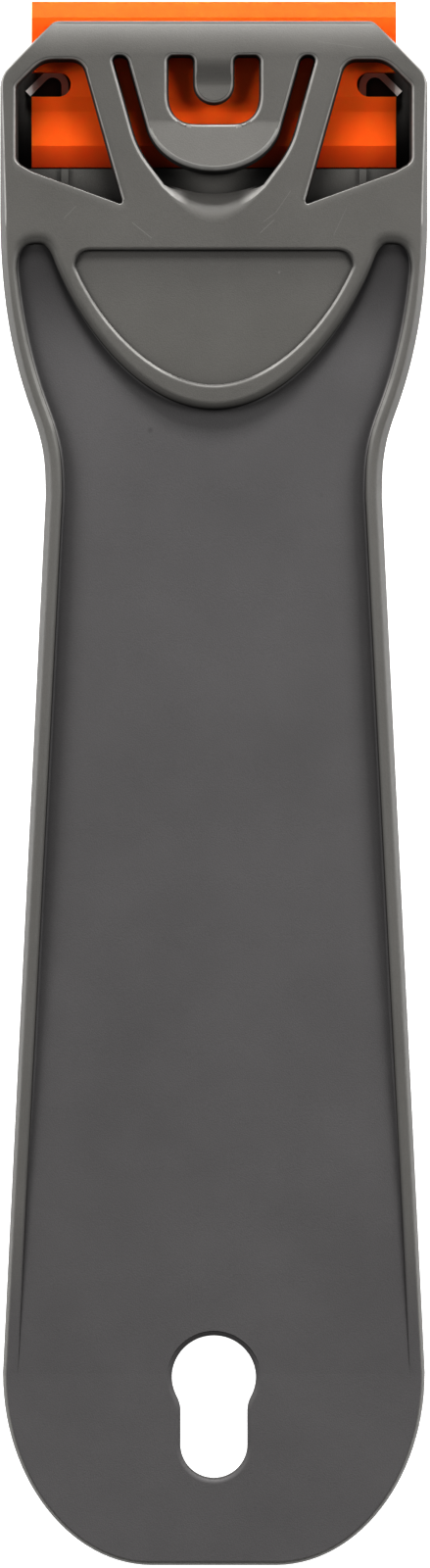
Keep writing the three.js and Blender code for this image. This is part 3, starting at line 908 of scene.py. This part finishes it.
# Fine grain of the mould and the soft cloudiness of the plastic.
def grainGroup():
    tree, start, end = newGroup("mouldGrain", [("Grain", 7.0), ("Cloud", 0.09)], ["Height", "Cloud"])
    spot = places(tree)
    tree.links.new(noise(tree, spot, start.outputs["Grain"], detail=3.0, rough=0.6), end.inputs["Height"])
    tree.links.new(noise(tree, spot, start.outputs["Cloud"], detail=5.0, rough=0.6), end.inputs["Cloud"])
    return tree


# Rounded edges that look to the sides or towards the mouth, made lighter in patches: partly edge wear,
# partly a painted highlight on the edges that face the lamps.
wearAndHighlightLook = {
    "steep": (0.15, 0.35), "flat": (0.935, 0.88), "tailward": (-1.0, -0.6),
    "patch": (0.25, 0.6), "fleck": (0.7, 0.76), "fleckScale": 2.6,
}


def wearAndHighlightGroup():
    look = wearAndHighlightLook
    tree, start, end = newGroup("edgeWearAndHighlight", [("Patches", 0.8), ("Least", 0.35)], ["Edge", "Nick"])
    out, forward, upward = facings(tree)
    level = calc(tree, "ABSOLUTE", upward)
    bend = product(tree, ramp(tree, level, *look["steep"]), ramp(tree, level, *look["flat"]))
    # Edges facing the tail, on the shaded side, are left out of the painted highlight.
    bend = product(tree, bend, ramp(tree, forward, *look["tailward"]))
    spot = places(tree)
    patch = noise(tree, spot, start.outputs["Patches"], detail=4.0, rough=0.7)
    patch = ramp(tree, patch, *look["patch"], start.outputs["Least"])
    tree.links.new(product(tree, bend, patch), end.inputs["Edge"])
    fleck = noise(tree, spot, look["fleckScale"], detail=2.0, rough=0.5)
    fleck = ramp(tree, fleck, *look["fleck"])
    tree.links.new(product(tree, bend, fleck), end.inputs["Nick"])
    return tree


# Specks of dirt and dust, one in each cell that the share lets through.
def speckGroup():
    tree, start, end = newGroup("specks", [("Spacing", 0.2), ("Share", 0.3), ("Size", 0.03)], ["Mask"])
    inputs = {"Vector": places(tree), "Scale": start.outputs["Spacing"]}
    cells = addNode(tree, "ShaderNodeTexVoronoi", inputs)
    dot = ramp(tree, cells.outputs["Distance"], start.outputs["Size"], 0.0)
    chosen = calc(tree, "LESS_THAN", axes(tree, cells.outputs["Color"])[0], start.outputs["Share"])
    tree.links.new(product(tree, dot, chosen), end.inputs["Mask"])
    return tree


def placeGroup(tree, group, **inputs):
    return addNode(tree, "ShaderNodeGroup", inputs, node_tree=group).outputs


grain = grainGroup()
wearAndHighlight = wearAndHighlightGroup()
specks = speckGroup()

# Materials

def newMaterial(name):
    material = bpy.data.materials.new(name)
    material.use_nodes = True
    return material, material.node_tree, material.node_tree.nodes["Principled BSDF"]


# Colour times a soft cloudiness.
def clouded(tree, colour, cloud, depth):
    shade = ramp(tree, cloud, *cloudRange, 1.0 - depth, 1.0 + depth, "LINEAR")
    return vector(tree, "SCALE", colour, shade)


def bumped(tree, height, distance):
    return addNode(tree, "ShaderNodeBump", {"Height": height, "Distance": distance}).outputs["Normal"]


greyLook = {
    "polished": (0.137, 0.133, 0.125, 1.0), "rail": (0.155, 0.151, 0.143, 1.0),
    # side: a painted shade that darkens steep walls
    "matt": (0.119, 0.115, 0.116, 1.0), "side": (0.06, 0.058, 0.055, 1.0),
    # the first pale colour: worn edges with painted highlights; the second: a painted highlight on the rib
    # tops
    "rubbedAndHighlit": (0.34, 0.333, 0.32, 1.0), "ribTopHighlight": (0.6, 0.59, 0.57, 1.0),
    # the scoop patch colour is painted lighter against the tongue's shadow; the dark colour is that of dirt
    # specks and also the painted shade in corners and in the horns
    "scoopLit": (0.145, 0.141, 0.133, 1.0), "dirtAndShade": (0.012, 0.011, 0.011, 1.0),
    # strengths of the painted shade in corners, in the horns and on the shelf, and the share of the wall
    # shade left on the outer sides
    "cavityShade": 0.8, "cavityShadeReach": 0.0034, "hornShade": 0.58, "shelfShade": 0.7, "outside": 0.4,
    # lift: strength of the painted highlight on the tongue's raised end; the edge highlights fade out over
    # the lip at the mouth, gone in its last millimetre
    "cloud": 0.06, "mottle": 0.05, "dirt": 0.35, "dust": 0.25, "lift": 0.7, "plainLip": 1.0,
    # badge: the painted highlight on the badge's lower edge, at its middle and at its flanks
    "badge": (0.1, 0.6), "badgeFlankHighlight": (0.3, 1.5),
    "roughPolished": 0.48, "roughMatt": 0.6, "roughSide": 0.95, "roughCloud": 0.04,
    "shine": 0.3, "bump": 0.00002,
}
# Limits between which each effect comes in: facings, how open a place is, or millimetres from a place
# on the holder
greyLimits = {
    "sideFar": (-1.0, -0.7), "sideFacing": (0.3, 0.6), "tailFar": (-1.0, -4.0), "tailFacing": (-0.15, -0.4),
    "webRise": (0.1, 0.55), "headStart": (-0.4, 0.4), "backRise": (0.3, 1.0),
    "hornShadeRun": (-13.3, -1.3), "hornShadeRise": (-3.55, -2.0), "cavityShade": (1.0, 0.35),
    "shelfFront": (0.2, 0.0), "shelfBack": (-0.2, 0.0), "shelfDeep": (0.0, -0.3),
    "ribAway": (0.2, 0.05), "ribFacing": (0.6, 0.9), "steep": (0.5, 0.2), "markRise": (-0.3, -0.05),
    "scoopLitAcross": (-1.0, -2.6), "scoopLitBack": (-1.0, 0.0), "scoopLitFront": (0.0, -1.0),
    "scoopLitDeep": (0.0, -0.15), "scoopLitFloor": (-0.2, 0.0),
    "liftRise": (0.05, 0.3), "liftFront": (0.26, 0.12), "liftEnd": (-0.9, -0.5),
    "badgeFacing": (0.0, 0.4), "badgeFlankHighlight": (3.0, 6.0), "rubAndHighlightStart": (1.5, 2.5),
}


def limit(tree, value, name, base=0.0, ends=(0.0, 1.0)):
    low, high = greyLimits[name]
    return ramp(tree, value, base + low, base + high, *ends)


# Share that is within all limits: each is a value, the limit's name, the place that it counts from,
# and the shares at its two ends if they aren't none and all.
def within(tree, *limits):
    return product(tree, *(limit(tree, *given) for given in limits))


# Outer sides of the holder, which hands polish; they get less of the painted shade on steep walls.
def outsideShare(tree):
    x, y, z = spots(tree)
    out, forward, upward = facings(tree)
    away = product(tree, calc(tree, "SIGN", x), out)
    far = calc(tree, "ABSOLUTE", x)
    sides = within(tree, (far, "sideFar", handleSizes["neckWidth"] / 2), (away, "sideFacing"))
    tail = within(tree, (y, "tailFar", tailCornerY), (forward, "tailFacing"))
    return highest(tree, sides, tail)


# Share of the polished finish: the head, the shield and the rails stand above the matt web.
def polishShare(tree, outside):
    x, y, z = spots(tree)
    web = ramp(tree, y, tailCornerY, recessTopY, webFront(tailCornerY), webFront(recessTopY), "LINEAR")
    above = limit(tree, calc(tree, "SUBTRACT", z, web), "webRise")
    return highest(tree, above, within(tree, (y, "headStart", recessTopY), (z, "backRise")), outside)


# Share of painted shade in corners and narrow places of the moulding, from the occlusion node.
def cavityShadeShare(tree):
    reach = {"Distance": greyLook["cavityShadeReach"]}
    node = addNode(tree, "ShaderNodeAmbientOcclusion", reach, samples=4, only_local=True)
    return ramp(tree, node.outputs["AO"], *greyLimits["cavityShade"], 0.0, greyLook["cavityShade"], "LINEAR")


# Shelf behind the blade, which gets less of the painted corner shade.
def shelfShare(tree):
    x, y, z = spots(tree)
    along = (y, "shelfFront", shelfY), (y, "shelfBack", pocketEndY)
    return within(tree, *along, (z, "shelfDeep", plateUnder))


# Tops of the seat ribs, painted pale as a highlight so that they read as lit inside the shaded pocket.
def ribHighlightShare(tree):
    away = calc(tree, "ABSOLUTE", calc(tree, "SUBTRACT", spots(tree)[2], ribSizes["top"]))
    return within(tree, (away, "ribAway"), (facings(tree)[2], "ribFacing"))


# Share of the patch in the scoop that is painted lighter against the tongue's shadow; the painted shades
# and the light edge colour are left out there.
def scoopLitShare(tree):
    x, y, z = spots(tree)
    across = calc(tree, "ABSOLUTE", x), "scoopLitAcross", scoopSizes["half"]
    along = (y, "scoopLitBack", scoopY), (y, "scoopLitFront", tongueEndY)
    return within(tree, across, *along, (z, "scoopLitDeep", headTop), (z, "scoopLitFloor", plateUnder))


# Rounded edge of the tongue's raised end, worn by fingers and painted with a highlight.
def liftRubAndHighlight(tree):
    forward = facings(tree)[1]
    raised = spots(tree)[2], "liftRise", headTop, (0.0, greyLook["lift"])
    return within(tree, raised, (forward, "liftFront"), (forward, "liftEnd"))


# Share of steep walls, less on the outer sides: they get a rougher finish from the mould and a painted
# shade that darkens them.
def wallShare(tree, outside):
    steep = limit(tree, calc(tree, "ABSOLUTE", facings(tree)[2]), "steep")
    return product(tree, steep, ramp(tree, outside, 0.0, 1.0, 1.0, greyLook["outside"], "LINEAR"))


# Hairline scratches on the front of the head: both ends, half width and strength.
greyMarks = [
    ((-8.5, 58.5), (-6.5, 56.9), 0.06, 0.35), ((8.0, 61.8), (6.5, 59.6), 0.05, 0.25),
    ((6.5, 59.6), (5.2, 58.6), 0.05, 0.25), ((6.3, 58.8), (4.8, 57.4), 0.06, 0.3),
    ((-15.6, 59.0), (-14.4, 60.2), 0.05, 0.25), ((12.5, 57.2), (13.8, 60.0), 0.05, 0.2),
    ((-12.6, 66.0), (-11.9, 69.5), 0.06, 0.2), ((10.8, 77.4), (15.6, 76.7), 0.05, 0.2),
]


def markShare(tree):
    flat = vector(tree, "MULTIPLY", places(tree), (1.0, 1.0, 0.0))
    marks = []
    for start, end, width, strength in greyMarks:
        way = Vector((*end, 0.0)) - Vector((*start, 0.0))
        away = vector(tree, "SUBTRACT", flat, (*start, 0.0))
        along = vector(tree, "DOT_PRODUCT", away, tuple(way / way.length_squared))
        foot = vector(tree, "SCALE", tuple(way), ramp(tree, along, 0.0, 1.0, kind="LINEAR"))
        apart = vector(tree, "LENGTH", vector(tree, "SUBTRACT", away, foot))
        marks.append(ramp(tree, apart, width, 0.0, 0.0, strength))
    return product(tree, highest(tree, *marks), limit(tree, spots(tree)[2], "markRise", headTop))


# Share of the light edge colour: worn edges with a painted highlight all over the head, a painted highlight
# on the badge's lower edge, more at its flanks, and scratches and dust.
def rubAndHighlightShare(tree, outsideScoopLit):
    look = greyLook
    x, y, z = spots(tree)
    edges = placeGroup(tree, wearAndHighlight, Patches=0.5, Least=0.6)
    dust = placeGroup(tree, specks, Spacing=0.16, Share=0.22, Size=0.035)
    # Painted highlight on the badge's lower edge, which faces the top lamp, stronger at its flanks.
    facing = facings(tree)[1], "badgeFacing", 0.0, look["badge"]
    flank = calc(tree, "ABSOLUTE", x), "badgeFlankHighlight", 0.0, look["badgeFlankHighlight"]
    badge = product(tree, within(tree, facing, flank), ramp(tree, y, neckY, shoulderY))
    head = highest(tree, limit(tree, y, "rubAndHighlightStart", recessTopY), badge)
    head = product(tree, head, ramp(tree, y, mouthY - look["plainLip"], lipY), outsideScoopLit)
    rubAndHighlight = highest(tree, edges["Edge"], edges["Nick"], liftRubAndHighlight(tree))
    fallen = product(tree, dust["Mask"], look["dust"])
    return highest(tree, product(tree, rubAndHighlight, head), markShare(tree), fallen)


def greyPlastic():
    look = greyLook
    material, tree, shader = newMaterial("grey_plastic")
    x, y, z = spots(tree)
    texture = placeGroup(tree, grain, Grain=7.0, Cloud=0.07)
    dirt = placeGroup(tree, specks, Spacing=0.11, Share=0.3, Size=0.05)
    outside = outsideShare(tree)
    polish = polishShare(tree, outside)
    scoopLit = scoopLitShare(tree)
    outsideScoopLit = calc(tree, "SUBTRACT", 1.0, scoopLit)
    wall = product(tree, wallShare(tree, outside), outsideScoopLit)
    bright = tint(tree, ramp(tree, y, shoulderY, neckY), look["polished"], look["rail"])
    # Painted shade at the tops of the horns, in the dark colour.
    run = y, "hornShadeRun", recessTopY, (0.0, look["hornShade"])
    hornShade = within(tree, run, (z, "hornShadeRise", headTop))
    colour = tint(tree, polish, tint(tree, hornShade, look["matt"], look["dirtAndShade"]), bright)
    colour = clouded(tree, colour, texture["Cloud"], look["cloud"])
    colour = clouded(tree, colour, texture["Height"], look["mottle"])
    # The shelf gets less of the painted corner shade, and the scoop patch none.
    kept = ramp(tree, shelfShare(tree), 0.0, 1.0, outsideScoopLit, look["shelfShade"], "LINEAR")
    # Layers: dirt specks; painted shade on steep walls; the scoop patch painted lighter; painted shade in
    # corners; worn edges with painted highlights, scratches and dust; a painted highlight on the rib tops.
    layers = [
        (product(tree, dirt["Mask"], look["dirt"]), "dirtAndShade"), (wall, "side"), (scoopLit, "scoopLit"),
        (product(tree, cavityShadeShare(tree), kept), "dirtAndShade"), (rubAndHighlightShare(tree, outsideScoopLit), "rubbedAndHighlit"),
        (ribHighlightShare(tree), "ribTopHighlight")]
    for share, name in layers:
        colour = tint(tree, share, colour, look[name])
    rough = ramp(tree, polish, 0.0, 1.0, look["roughMatt"], look["roughPolished"], "LINEAR")
    rough = ramp(tree, wall, 0.0, 1.0, rough, look["roughSide"], "LINEAR")
    uneven = look["roughCloud"]
    uneven = ramp(tree, texture["Cloud"], *cloudRange, -uneven, uneven, "LINEAR")
    feedAll(tree, shader, {
        "Base Color": colour, "Roughness": calc(tree, "ADD", rough, uneven),
        "Specular IOR Level": look["shine"], "Normal": bumped(tree, texture["Height"], look["bump"])})
    return material


grey = greyPlastic()

# Blade: its plastic, and one section swept along its length, with a notch in each end

bladeSizes = {
    "pad": 1.4, "spineRise": 0.3, "spineCrown": 2.6, "spineFoot": 5.7, "edge": 0.3,
    "frontBevel": 1.7, "rearBevel": 2.3, "cornerRound": 0.12, "notchDepth": 4.1, "notchHeight": 2.56,
    "notchRound": 0.49, "notchReach": 3.0, "notchSteps": 10, "cornerSteps": 3,
}
orangeLook = {
    # the lighter orange: worn edges with a painted highlight; the dirt colour is also the painted shade on
    # the rear bevel
    "colour": (1.0, 0.175, 0.016), "rubbedAndHighlit": (1.0, 0.3, 0.09, 1.0), "dirt": (0.35, 0.04, 0.01, 1.0),
    "heelShade": 0.25, "heelShadeEdge": 0.7, "heelShadeBlur": 0.05,  # painted shade on the rear bevel, which lies in the pocket, in the dirt colour
    "cloud": 0.04, "rubAndHighlight": 0.3, "specks": 0.3, "roughness": 0.5, "roughCloud": 0.05, "shine": 0.25,
    "bump": 0.000012, "depth": 0.0005, "spread": (1.0, 0.3, 0.1),
}


def orangePlastic():
    look = orangeLook
    material, tree, shader = newMaterial("orange_plastic")
    texture = placeGroup(tree, grain, Grain=5.0, Cloud=0.12)
    edges = placeGroup(tree, wearAndHighlight, Patches=0.6, Least=0.3)
    dirt = placeGroup(tree, specks, Spacing=0.3, Share=0.3, Size=0.05)
    y = spots(tree)[1]
    # Painted shade on the rear bevel, darkest at its edge.
    heelY = bladeLow.y + bladeSizes["rearBevel"]
    heelShade = ramp(tree, y, heelY, bladeLow.y, look["heelShade"], look["heelShadeEdge"], "LINEAR")
    heelShade = product(tree, heelShade, ramp(tree, y, heelY + look["heelShadeBlur"], heelY - look["heelShadeBlur"]))
    colour = clouded(tree, look["colour"], texture["Cloud"], look["cloud"])
    # Worn edges with a painted highlight, in a lighter orange.
    colour = tint(tree, product(tree, edges["Edge"], look["rubAndHighlight"]), colour, look["rubbedAndHighlit"])
    colour = tint(tree, product(tree, dirt["Mask"], look["specks"]), colour, look["dirt"])
    colour = tint(tree, heelShade, colour, look["dirt"])
    low, high = look["roughness"] - look["roughCloud"], look["roughness"] + look["roughCloud"]
    rough = ramp(tree, texture["Cloud"], *cloudRange, low, high)
    feedAll(tree, shader, {
        "Base Color": colour, "Roughness": rough, "Specular IOR Level": look["shine"],
        "Subsurface Weight": 1.0,  # light goes a little way into the plastic
        "Subsurface Radius": look["spread"], "Subsurface Scale": look["depth"],
        "Normal": bumped(tree, texture["Height"], look["bump"])})
    return material


orange = orangePlastic()


def bladeSection():
    s = bladeSizes
    half = (bladeHigh.y - bladeLow.y) / 2
    pad, edge = s["pad"] / 2, s["edge"] / 2
    spine = pad + s["spineRise"]
    crown, foot = s["spineCrown"] / 2, s["spineFoot"] / 2
    upper = [
        (half, edge), (half - s["frontBevel"], pad), (foot, pad), (crown, spine),
        (-crown, spine), (-foot, pad), (s["rearBevel"] - half, pad), (-half, edge)]
    return upper + [(y, -z) for y, z in reversed(upper)]


def bladeTree():
    s = bladeSizes
    tree, given = newTree("bladeSweep", ["Length", "Corner Round", "Notch Depth", "Notch Height"])

    def spot(x=0.0, z=0.0):
        return addNode(tree, "ShaderNodeCombineXYZ", {"X": x, "Z": z}).outputs[0]

    def fillet(curve, radius, count):
        inputs = {"Curve": curve, "Radius": radius, "Count": count, "Limit Radius": True}
        return addNode(tree, "GeometryNodeFilletCurve", inputs, mode="POLY").outputs["Curve"]

    def sweep(section, first, last):
        line = addNode(tree, "GeometryNodeCurvePrimitiveLine", {"Start": first, "End": last})
        upright = addNode(
            tree, "GeometryNodeSetCurveNormal", {"Curve": line.outputs["Curve"]}, mode="Z_UP")
        return swept(tree, upright.outputs["Curve"], section)

    endX = product(tree, given["Length"], 0.5)
    farX = product(tree, endX, -1.0)
    section = fillet(given["Geometry"], given["Corner Round"], s["cornerSteps"])
    body = sweep(section, spot(farX), spot(endX))
    slot = addNode(tree, "GeometryNodeCurvePrimitiveQuadrilateral", {
        "Width": product(tree, given["Notch Depth"], 2.0), "Height": given["Notch Height"]})
    radius = product(tree, given["Notch Height"], s["notchRound"])
    notch = fillet(slot.outputs["Curve"], radius, s["notchSteps"])
    notch = sweep(notch, spot(z=-s["notchReach"]), spot(z=s["notchReach"]))
    ends = addNode(tree, "GeometryNodeMeshLine", mode="END_POINTS")
    feedAll(tree, ends, {"Count": 2, "Start Location": spot(farX), "Offset": spot(endX)})
    copies = addNode(
        tree, "GeometryNodeInstanceOnPoints", {"Points": ends.outputs["Mesh"], "Instance": notch})
    tools = addNode(tree, "GeometryNodeRealizeInstances", {"Geometry": copies.outputs["Instances"]})
    cut = addNode(tree, "GeometryNodeMeshBoolean", operation="DIFFERENCE", solver="MANIFOLD")
    feedAll(tree, cut, {"Mesh 1": body, "Mesh 2": tools.outputs["Geometry"]})
    return painted(tree, cut.outputs["Mesh"], given["Material"])


def makeBlade():
    s = bladeSizes
    carrier = pathObject("bladeSection", [[(-y, z, 0.0) for y, z in reversed(bladeSection())]])
    carrier.data.splines[0].use_cyclic_u = True
    values = {
        "Length": bladeHigh.x - bladeLow.x, "Corner Round": s["cornerRound"],
        "Notch Depth": s["notchDepth"], "Notch Height": s["notchHeight"], "Material": orange}
    piece = grow("blade_strip", carrier, bladeTree(), values)
    piece.data.transform(Matrix.Translation(bladeMiddle))
    return piece


bladeStrip = makeBlade()
print("blade size:", [round(x, 2) for x in bladeStrip.dimensions])
finishPiece(bladeStrip, orange, "blade")
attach(bladeStrip, "blade")

# Holder, tongue and tab come from one moulding, parted along the channel and below the roots.

moulding = holderBlank()
combine(moulding, [tongueLift()], "UNION")
combine(moulding, [
    tabStep(), pocket(shelfY, headSizes["pocketFloor"]), pocket(pocketEndY, headSizes["shelfTop"]),
    sideWindow(1), sideWindow(-1), tongueChannel(), tabWindow(), frontRecess(), backRecess(), badgeRecess(),
    keyhole(1), keyhole(-1)], "DIFFERENCE")
combine(moulding, seatRibs(ribTree(), grey), "UNION")
print("moulding made:", len(moulding.data.polygons), "faces")


def partingBlock(name, run):
    return prism(name, run, headSizes["partingFloor"], headTop + carveClear)


def tongueBlock():
    loop = [(x, min(y, seamY)) for x, y in tongueLoop(seamY, nearSpot)]
    return partingBlock("tongueBlock", loop)


def tabBlock():
    low = [(-tabReach, tabEndY), (tabReach, tabEndY)]
    return partingBlock("tabBlock", low + [(tabReach, seamY), (-tabReach, seamY)])


def copyOf(piece, name):
    return addObject(name, piece.data.copy())


tongue = combine(copyOf(moulding, "spring_tongue"), [tongueBlock()], "INTERSECT")
combine(tongue, [tabBlock()], "DIFFERENCE")
tab = combine(copyOf(moulding, "spring_tab"), [tabBlock()], "INTERSECT")
holder = combine(moulding, [tongueBlock(), tabBlock()], "DIFFERENCE")


# Rows of points across the stretch that bends, so that it can curve.
def addBendRows(piece):
    shape = bmesh.new()
    shape.from_mesh(piece.data)
    rows = tongueSizes["bendRows"]
    for row in range(1, rows + 1):
        spot = (0.0, seamY - tongueSizes["bend"] * row / rows, 0.0)
        parts = shape.verts[:] + shape.edges[:] + shape.faces[:]
        bmesh.ops.bisect_plane(shape, geom=parts, dist=0.0001, plane_co=spot, plane_no=(0.0, 1.0, 0.0))
    shape.to_mesh(piece.data)
    shape.free()


addBendRows(tongue)
addBendRows(tab)
finishPiece(holder, grey, "holder")
finishPiece(tongue, grey, "release_tongue")
finishPiece(tab, grey, "detent_tab")
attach(holder, "holder")
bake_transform(tongue)
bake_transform(tab)

# Camera, floor and light

cameraSizes = {
    "side": 0.00012, "distance": 1.3, "sensor": 36.0,
    "pictureHeight": 0.16384, "scaleHeight": 0.0036,  # what the picture spans at this height
}


def setCamera():
    s = cameraSizes
    data = bpy.data.cameras.new("camera")
    data.sensor_width = s["sensor"]
    data.lens = s["sensor"] * (s["distance"] - s["scaleHeight"]) / s["pictureHeight"]
    camera = addObject("camera", data)
    camera.location = (s["side"], 0.0, s["distance"])
    bpy.context.scene.camera = camera


lightSizes = {
    "top": {"place": (0.0, 0.936, 0.352), "size": (0.25, 0.18), "power": 8.95},
    "left": {"place": (-0.71, 0.26, 0.49), "size": (0.4, 0.3), "power": 3.85},
    "right": {"place": (0.71, 0.26, 0.49), "size": (0.4, 0.3), "power": 4.1},
    "world": 0.1,
}


def addLight(name, place, size, power):
    data = bpy.data.lights.new(name, "AREA")
    data.shape = "RECTANGLE"
    data.size, data.size_y = size
    data.energy = power
    light = addObject(name, data)
    light.location = place
    light.rotation_euler = (-Vector(place)).to_track_quat("-Z", "Y").to_euler()
    light.visible_camera = False  # other views look past it


def setLight():
    for name in ("top", "left", "right"):
        addLight(name + "Light", **lightSizes[name])
    world = bpy.data.worlds.new("studio")
    world.use_nodes = True
    glow = {"Color": (1.0, 1.0, 1.0, 1.0), "Strength": lightSizes["world"]}
    feedAll(world.node_tree, world.node_tree.nodes["Background"], glow)
    bpy.context.scene.world = world
    bpy.context.scene.view_settings.view_transform = "Standard"
    bpy.context.scene.view_settings.look = "High Contrast"


floorLook = {"half": 8.0, "low": -0.0001, "colour": (0.9, 0.9, 0.9, 1.0), "roughness": 0.9, "glow": 0.75}


def setFloor():
    half, low = floorLook["half"], floorLook["low"]
    mesh = bpy.data.meshes.new("floor")
    corners = [(x * half, y * half, low) for x, y in ((-1, -1), (1, -1), (1, 1), (-1, 1))]
    mesh.from_pydata(corners, [], [(0, 1, 2, 3)])
    floor = addObject("floor", mesh)
    material, tree, shader = newMaterial("pale_floor")
    feedAll(tree, shader, {
        "Base Color": floorLook["colour"], "Roughness": floorLook["roughness"],
        "Emission Color": (1.0, 1.0, 1.0, 1.0), "Emission Strength": floorLook["glow"]})
    mesh.materials.append(material)


setCamera()
setFloor()
setLight()
